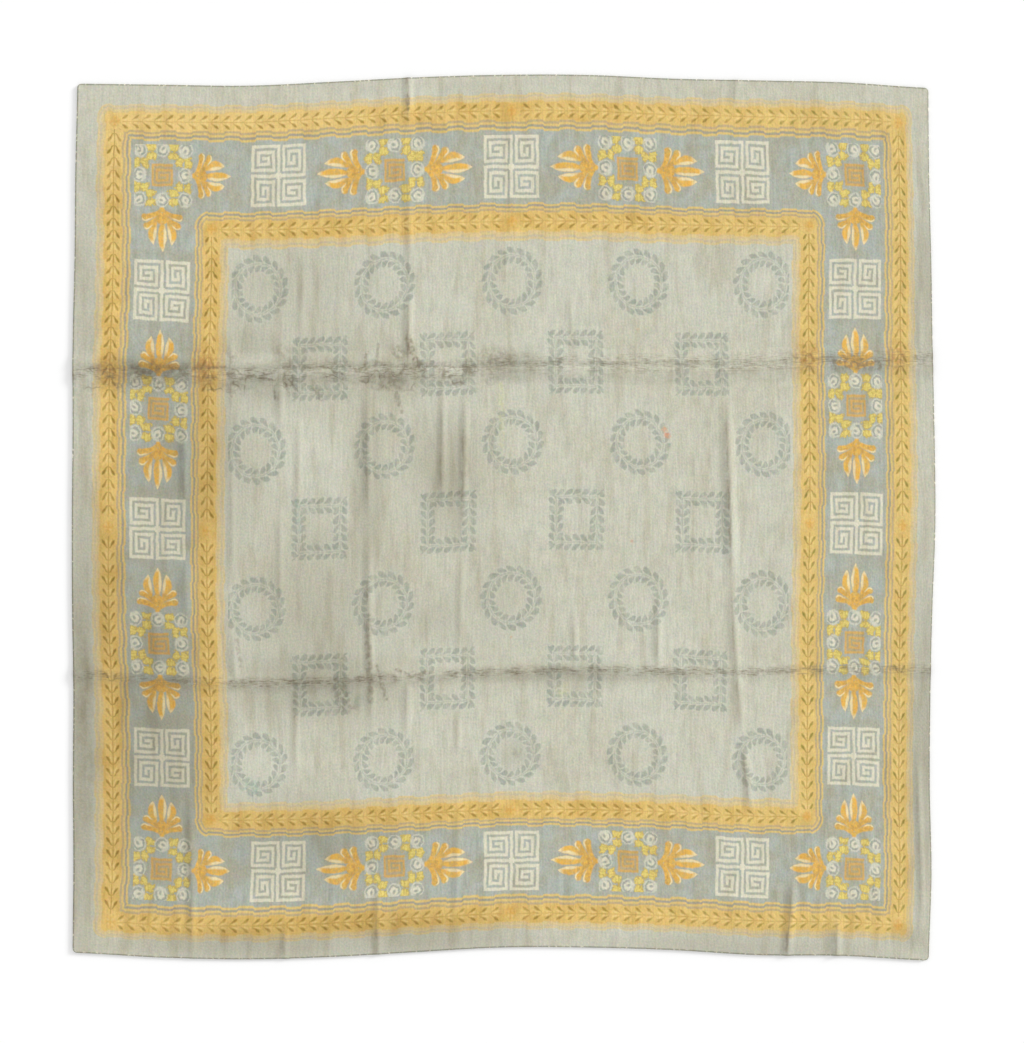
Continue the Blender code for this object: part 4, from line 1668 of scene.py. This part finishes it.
class CarpetSizes(PropertyGroup):
    """The sheet's own sizes, and those of the pattern in knots."""

    thickness: FloatProperty(
        name="Thickness", description="The pile and its back together", default=10 * MM,
        min=2 * MM, max=20 * MM, unit="LENGTH",
    )
    edge_round: FloatProperty(
        name="Edge Round", description="How far the edge is rounded", default=3 * MM,
        min=0.5 * MM, max=5 * MM, unit="LENGTH",
    )
    corner_radius: FloatProperty(
        name="Corner Radius", description="The round of the carpet's corners", default=22 * MM,
        min=1 * MM, max=100 * MM, unit="LENGTH",
    )
    leaf_pitch: knot_size("Leaf Pitch", "From one pair of laurel leaves in a band to the next", 12.0)
    wave_depth: knot_size("Wave Depth", "How far the bands' edges step in and out", 0.8)
    rose_step: knot_size("Rose Step", "From one rose of a square to the next", 24.1)
    rose_radius: knot_size("Rose Radius", "The roses' size", 7.4)
    palmette_start: knot_size("Palmette Start", "From a rose square's centre to a palmette's foot", 31.0)
    round_wreath_radius: knot_size("Round Wreath Radius", "The round wreaths' stems", 23.6)


class CarpetDyes(PropertyGroup):
    """The dyes of the wool, faded as they are today."""

    light_level: FloatProperty(
        name="Light Level", description="How brightly the stage lights a level white sheet",
        default=1.12, min=0.1, max=5.0,
    )
    field: dye("Field", "The field's pale ground", 205, 204, 187)
    field_brown: dye("Field Brown", "The browner parts of the field", 197, 193, 172)
    field_green: dye("Field Green", "The greener parts of the field", 196, 202, 184)
    margin: dye("Margin", "The plain margin", 200, 198, 181)
    edge: dye("Bound Edge", "The worn binding along the edges", 150, 150, 132)
    border: dye("Border Ground", "The border's grey blue ground", 175, 182, 172)
    border_brown: dye("Border Brown", "The duller parts of the border's ground", 176, 175, 156)
    gold: dye("Gold", "The laurel bands", 226, 193, 118)
    gold_brown: dye("Brown Gold", "The darker mottling of the bands", 212, 176, 98)
    gold_lemon: dye("Lemon Gold", "The paler gold towards the right", 226, 199, 128)
    gold_pale: dye("Pale Gold", "Highlights beside the leaves", 242, 214, 146)
    rosette: dye("Rosette", "The small roses in the bands", 218, 168, 80)
    olive: dye("Olive", "Stems in the bands", 164, 134, 62)
    olive_dark: dye("Dark Olive", "Leaves in the bands", 158, 130, 58)
    olive_green: dye("Green Olive", "Leaves in the bands towards the right", 158, 142, 70)
    line_gold: dye("Line Gold", "The clear thin lines in gold", 222, 194, 124)
    line_grey: dye("Line Grey", "The clear thin lines in grey", 170, 163, 142)
    line_tan: dye("Line Tan", "The clear line beside the gold", 194, 174, 132)
    faded_gold: dye("Faded Gold", "The faded lines in gold", 221, 199, 142)
    faded_grey: dye("Faded Grey", "The faded lines in grey", 204, 190, 158)
    faded_tan: dye("Faded Tan", "The faded line beside the gold", 218, 194, 140)
    ivory: dye("Ivory", "The Greek keys and the palest wool", 222, 218, 194)
    rose: dye("Rose", "The roses' petals", 213, 212, 192)
    rose_grey: dye("Rose Grey", "Shades in the roses", 154, 159, 148)
    lemon: dye("Lemon", "Leaf pairs among the roses", 230, 210, 122)
    lemon_dark: dye("Dark Lemon", "The leaf pairs' shaded side", 196, 172, 92)
    orange: dye("Orange", "The palmettes", 234, 184, 88)
    spiral: dye("Spiral", "The rose squares' spirals", 214, 172, 98)
    spiral_ground: dye("Spiral Ground", "The wool between the spirals' lines", 184, 162, 112)
    orange_brown: dye("Brown Orange", "The duller orange of the palmettes", 218, 180, 104)
    orange_pale: dye("Pale Orange", "The palmettes' pale edges", 238, 224, 180)
    palmette_shade: dye("Palmette Shade", "The palmettes' darker bodies", 188, 150, 84)
    wreath: dye("Wreath", "The wreaths' leaves", 160, 165, 152)
    wreath_ground: dye("Wreath Ground", "The field just round the wreaths", 200, 206, 190)
    # The dye of the dirt, and also of the painted shade on the folds' shaded sides
    dirt: dye("Dirt", "Dirt along the folds", 126, 115, 95)
    gold_stain: dye("Gold Stain", "The gold where it is stained", 176, 128, 74)
    stain_orange: dye("Orange Stain", "Small pinkish orange stains", 224, 160, 122)
    stain_lemon: dye("Yellow Stain", "Yellowed places", 206, 204, 146)
    stain_teal: dye("Teal Stain", "Places where the leaves' dye ran", 164, 190, 176)
    soil_wash: dye("Soil", "What soiled wool is darkened by", 190, 184, 172)
    streak_wash: dye("Streak Wash", "What the long streaks are darkened by", 246, 240, 232)
    linen: dye("Linen", "Warps that show on the back", 170, 160, 135)


def strength(name, description, default):
    """Return a setting for how strong something is."""
    return FloatProperty(name=name, description=description, default=default, min=0.0, max=2.0)


class CarpetWear(PropertyGroup):
    """How uneven and how dirty the old pile is, and how strong the painted shade and the painted
    highlights beside the folds are.
    """

    streaks: strength("Streaks", "Light and dark down the columns of knots", 0.26)
    grain: strength("Grain", "Light and dark from knot to knot", 0.16)
    mottle: strength("Mottle", "Light and dark in small clouds", 0.18)
    knot_hues: strength("Knot Hues", "How much single knots differ in colour", 0.22)
    mottle_hues: strength("Mottle Hues", "How much small clouds differ in colour", 0.12)
    wide_streaks: strength("Wide Streaks", "How much the long streaks are darkened", 0.5)
    # A painted highlight on the folds' right sides, where the key light falls
    painted_fold_highlights: strength("Lit Sides", "How much brighter the folds' right sides are", 0.06)
    # This also sets how dark the painted shade on the folds' shaded sides is
    dirt: strength("Dirt", "How dark the dirt along the folds and creases is", 0.68)


class CarpetStage(PropertyGroup):
    """The floor, the light and the camera."""

    floor_tone: FloatProperty(
        name="Floor Tone", description="How pale the floor is", default=0.9, min=0.0, max=1.0,
    )
    sky: FloatProperty(
        name="Sky", description="Even light from all round", default=0.90, min=0.0, max=5.0,
    )
    key: FloatProperty(
        name="Key", description="Strength of the low key light", default=2.51, min=0.0, max=20.0,
    )
    key_softness: FloatProperty(
        name="Key Softness", description="How wide the key light looks from the carpet",
        default=math.radians(14), subtype="ANGLE",
    )
    key_rise: FloatProperty(
        name="Key Rise", description="The key light's height above the horizon",
        default=math.radians(16), subtype="ANGLE",
    )
    key_turn: FloatProperty(
        name="Key Turn", description="Where the key light stands, counted from the right",
        default=math.radians(28), subtype="ANGLE",
    )
    camera_height: FloatProperty(
        name="Camera Height", description="How high the camera hangs", default=12.0, min=1.0,
        unit="LENGTH",
    )


class CARPET_OT_knot_carpet(Operator):
    """Knot the carpet: one closed sheet with its folds, creases, pattern and wear"""

    bl_idname = "carpet.knot_carpet"
    bl_label = "Knot Carpet"

    def execute(self, context):
        deselect_everything()
        sizes = context.scene.carpet_sizes
        sheet = make_sheet(sizes)
        sheet.name = "pile_carpet"
        sheet.data.name = "pile_carpet"
        thicken(sheet, sizes)
        dyed = dye_wools(context.scene.carpet_dyes, sizes, context.scene.carpet_wear)
        upwards = wear_zones(sheet.data, dyed)
        lay_out_bake(sheet.data, upwards, sizes.thickness)
        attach(sheet, "root")
        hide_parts("carpet")
        return {"FINISHED"}


# The photograph's frame: its width and height in pixels, what one pixel spans on the carpet, and the
# pixel at which the plain rectangle's middle lies
FRAME_PIXELS = (1024, 1043)
PIXEL_SPAN = 5.15 * MM
MIDDLE_PIXEL = (504.0, 519.5)
SENSOR_WIDTH = 36.0
FLOOR_SIDE = 40.0
FLOOR_DROP = 0.4 * MM
FLOOR_ROUGHNESS = 0.8
KEY_DISTANCE = 5.0


def outline_middle():
    """Return the middle of the outline's box, which the sheet is centred on."""
    share = np.linspace(-0.5, 0.5, FINE_READINGS + 1)
    half = np.full_like(share, 0.5)
    right, _ = on_outline(half * CARPET_WIDTH, share * CARPET_LENGTH)
    left, _ = on_outline(-half * CARPET_WIDTH, share * CARPET_LENGTH)
    _, top = on_outline(share * CARPET_WIDTH, half * CARPET_LENGTH)
    _, bottom = on_outline(share * CARPET_WIDTH, -half * CARPET_LENGTH)
    return Vector(((left.min() + right.max()) / 2, (bottom.min() + top.max()) / 2))


def lay_floor(stage):
    """Lay the pale floor just under the carpet."""
    bpy.ops.mesh.primitive_plane_add(size=FLOOR_SIDE, location=(0.0, 0.0, -FLOOR_DROP))
    floor = bpy.context.active_object
    floor.name = "pale_floor"
    floor.data.transform(floor.matrix_world)
    floor.matrix_world.identity()
    material = bpy.data.materials.new("pale_floor")
    material.use_nodes = True
    shader = material.node_tree.nodes["Principled BSDF"]
    tone = stage.floor_tone
    shader.inputs["Base Color"].default_value = (tone, tone, tone, 1.0)
    shader.inputs["Roughness"].default_value = FLOOR_ROUGHNESS
    shader.inputs["Specular IOR Level"].default_value = 0.0
    floor.data.materials.append(material)
    return floor


def set_light(scene, stage):
    """Set even light all round and a low, soft key light."""
    world = bpy.data.worlds.new("soft_light")
    world.use_nodes = True
    background = world.node_tree.nodes["Background"]
    background.inputs["Color"].default_value = (1.0, 1.0, 1.0, 1.0)
    background.inputs["Strength"].default_value = stage.sky
    scene.world = world
    lamp = bpy.data.lights.new("key_light", "SUN")
    lamp.energy = stage.key
    lamp.angle = stage.key_softness
    key = bpy.data.objects.new("key_light", lamp)
    reach = math.cos(stage.key_rise)
    towards = Vector((
        reach * math.cos(stage.key_turn), reach * math.sin(stage.key_turn), math.sin(stage.key_rise)
    ))
    key.rotation_euler = towards.to_track_quat("Z", "Y").to_euler()
    key.location = towards * KEY_DISTANCE
    scene.collection.objects.link(key)


def hang_camera(scene, stage):
    """Hang the camera over the photograph's middle, with the photograph's frame."""
    view = bpy.data.cameras.new("photograph")
    camera = bpy.data.objects.new("photograph", view)
    middle = outline_middle()
    camera.location = (
        (FRAME_PIXELS[0] / 2 - MIDDLE_PIXEL[0]) * PIXEL_SPAN - middle.x,
        (MIDDLE_PIXEL[1] - FRAME_PIXELS[1] / 2) * PIXEL_SPAN - middle.y,
        stage.camera_height,
    )
    view.sensor_fit = "HORIZONTAL"
    view.sensor_width = SENSOR_WIDTH
    view.lens = SENSOR_WIDTH * stage.camera_height / (FRAME_PIXELS[0] * PIXEL_SPAN)
    scene.collection.objects.link(camera)
    scene.camera = camera
    scene.view_settings.view_transform = "Standard"


class CARPET_OT_set_stage(Operator):
    """Set the plain pale floor, the soft light and the camera straight above"""

    bl_idname = "carpet.set_stage"
    bl_label = "Set Stage"

    def execute(self, context):
        scene = context.scene
        stage = scene.carpet_stage
        deselect_everything()
        floor = lay_floor(stage)
        set_light(scene, stage)
        hang_camera(scene, stage)
        return {"FINISHED"}


class CARPET_PT_sidebar(Panel):
    """The carpet's panel in the sidebar"""

    bl_label = "Savonnerie Carpet"
    bl_idname = "CARPET_PT_sidebar"
    bl_space_type = "VIEW_3D"
    bl_region_type = "UI"
    bl_category = "Carpet"

    def draw(self, context):
        layout = self.layout
        for operator in (CARPET_OT_knot_carpet, CARPET_OT_set_stage):
            layout.operator(operator.bl_idname)
        scene = context.scene
        for settings in (
            scene.carpet_sizes, scene.carpet_dyes, scene.carpet_wear, scene.carpet_stage,
        ):
            box = layout.box()
            for name in settings.__annotations__:
                box.prop(settings, name)


CLASSES = (
    CarpetSizes, CarpetDyes, CarpetWear, CarpetStage, CARPET_OT_knot_carpet, CARPET_OT_set_stage,
    CARPET_PT_sidebar,
)


def register():
    """Register the classes and their settings."""
    for item in CLASSES:
        bpy.utils.register_class(item)
    bpy.types.Scene.carpet_sizes = PointerProperty(type=CarpetSizes)
    bpy.types.Scene.carpet_dyes = PointerProperty(type=CarpetDyes)
    bpy.types.Scene.carpet_wear = PointerProperty(type=CarpetWear)
    bpy.types.Scene.carpet_stage = PointerProperty(type=CarpetStage)


def unregister():
    """Remove the settings and the classes."""
    del bpy.types.Scene.carpet_stage
    del bpy.types.Scene.carpet_wear
    del bpy.types.Scene.carpet_dyes
    del bpy.types.Scene.carpet_sizes
    for item in reversed(CLASSES):
        bpy.utils.unregister_class(item)


def main():
    """Make the carpet and its stage."""
    register()
    bpy.ops.carpet.knot_carpet()
    bpy.ops.carpet.set_stage()


if __name__ == "__main__":
    main()
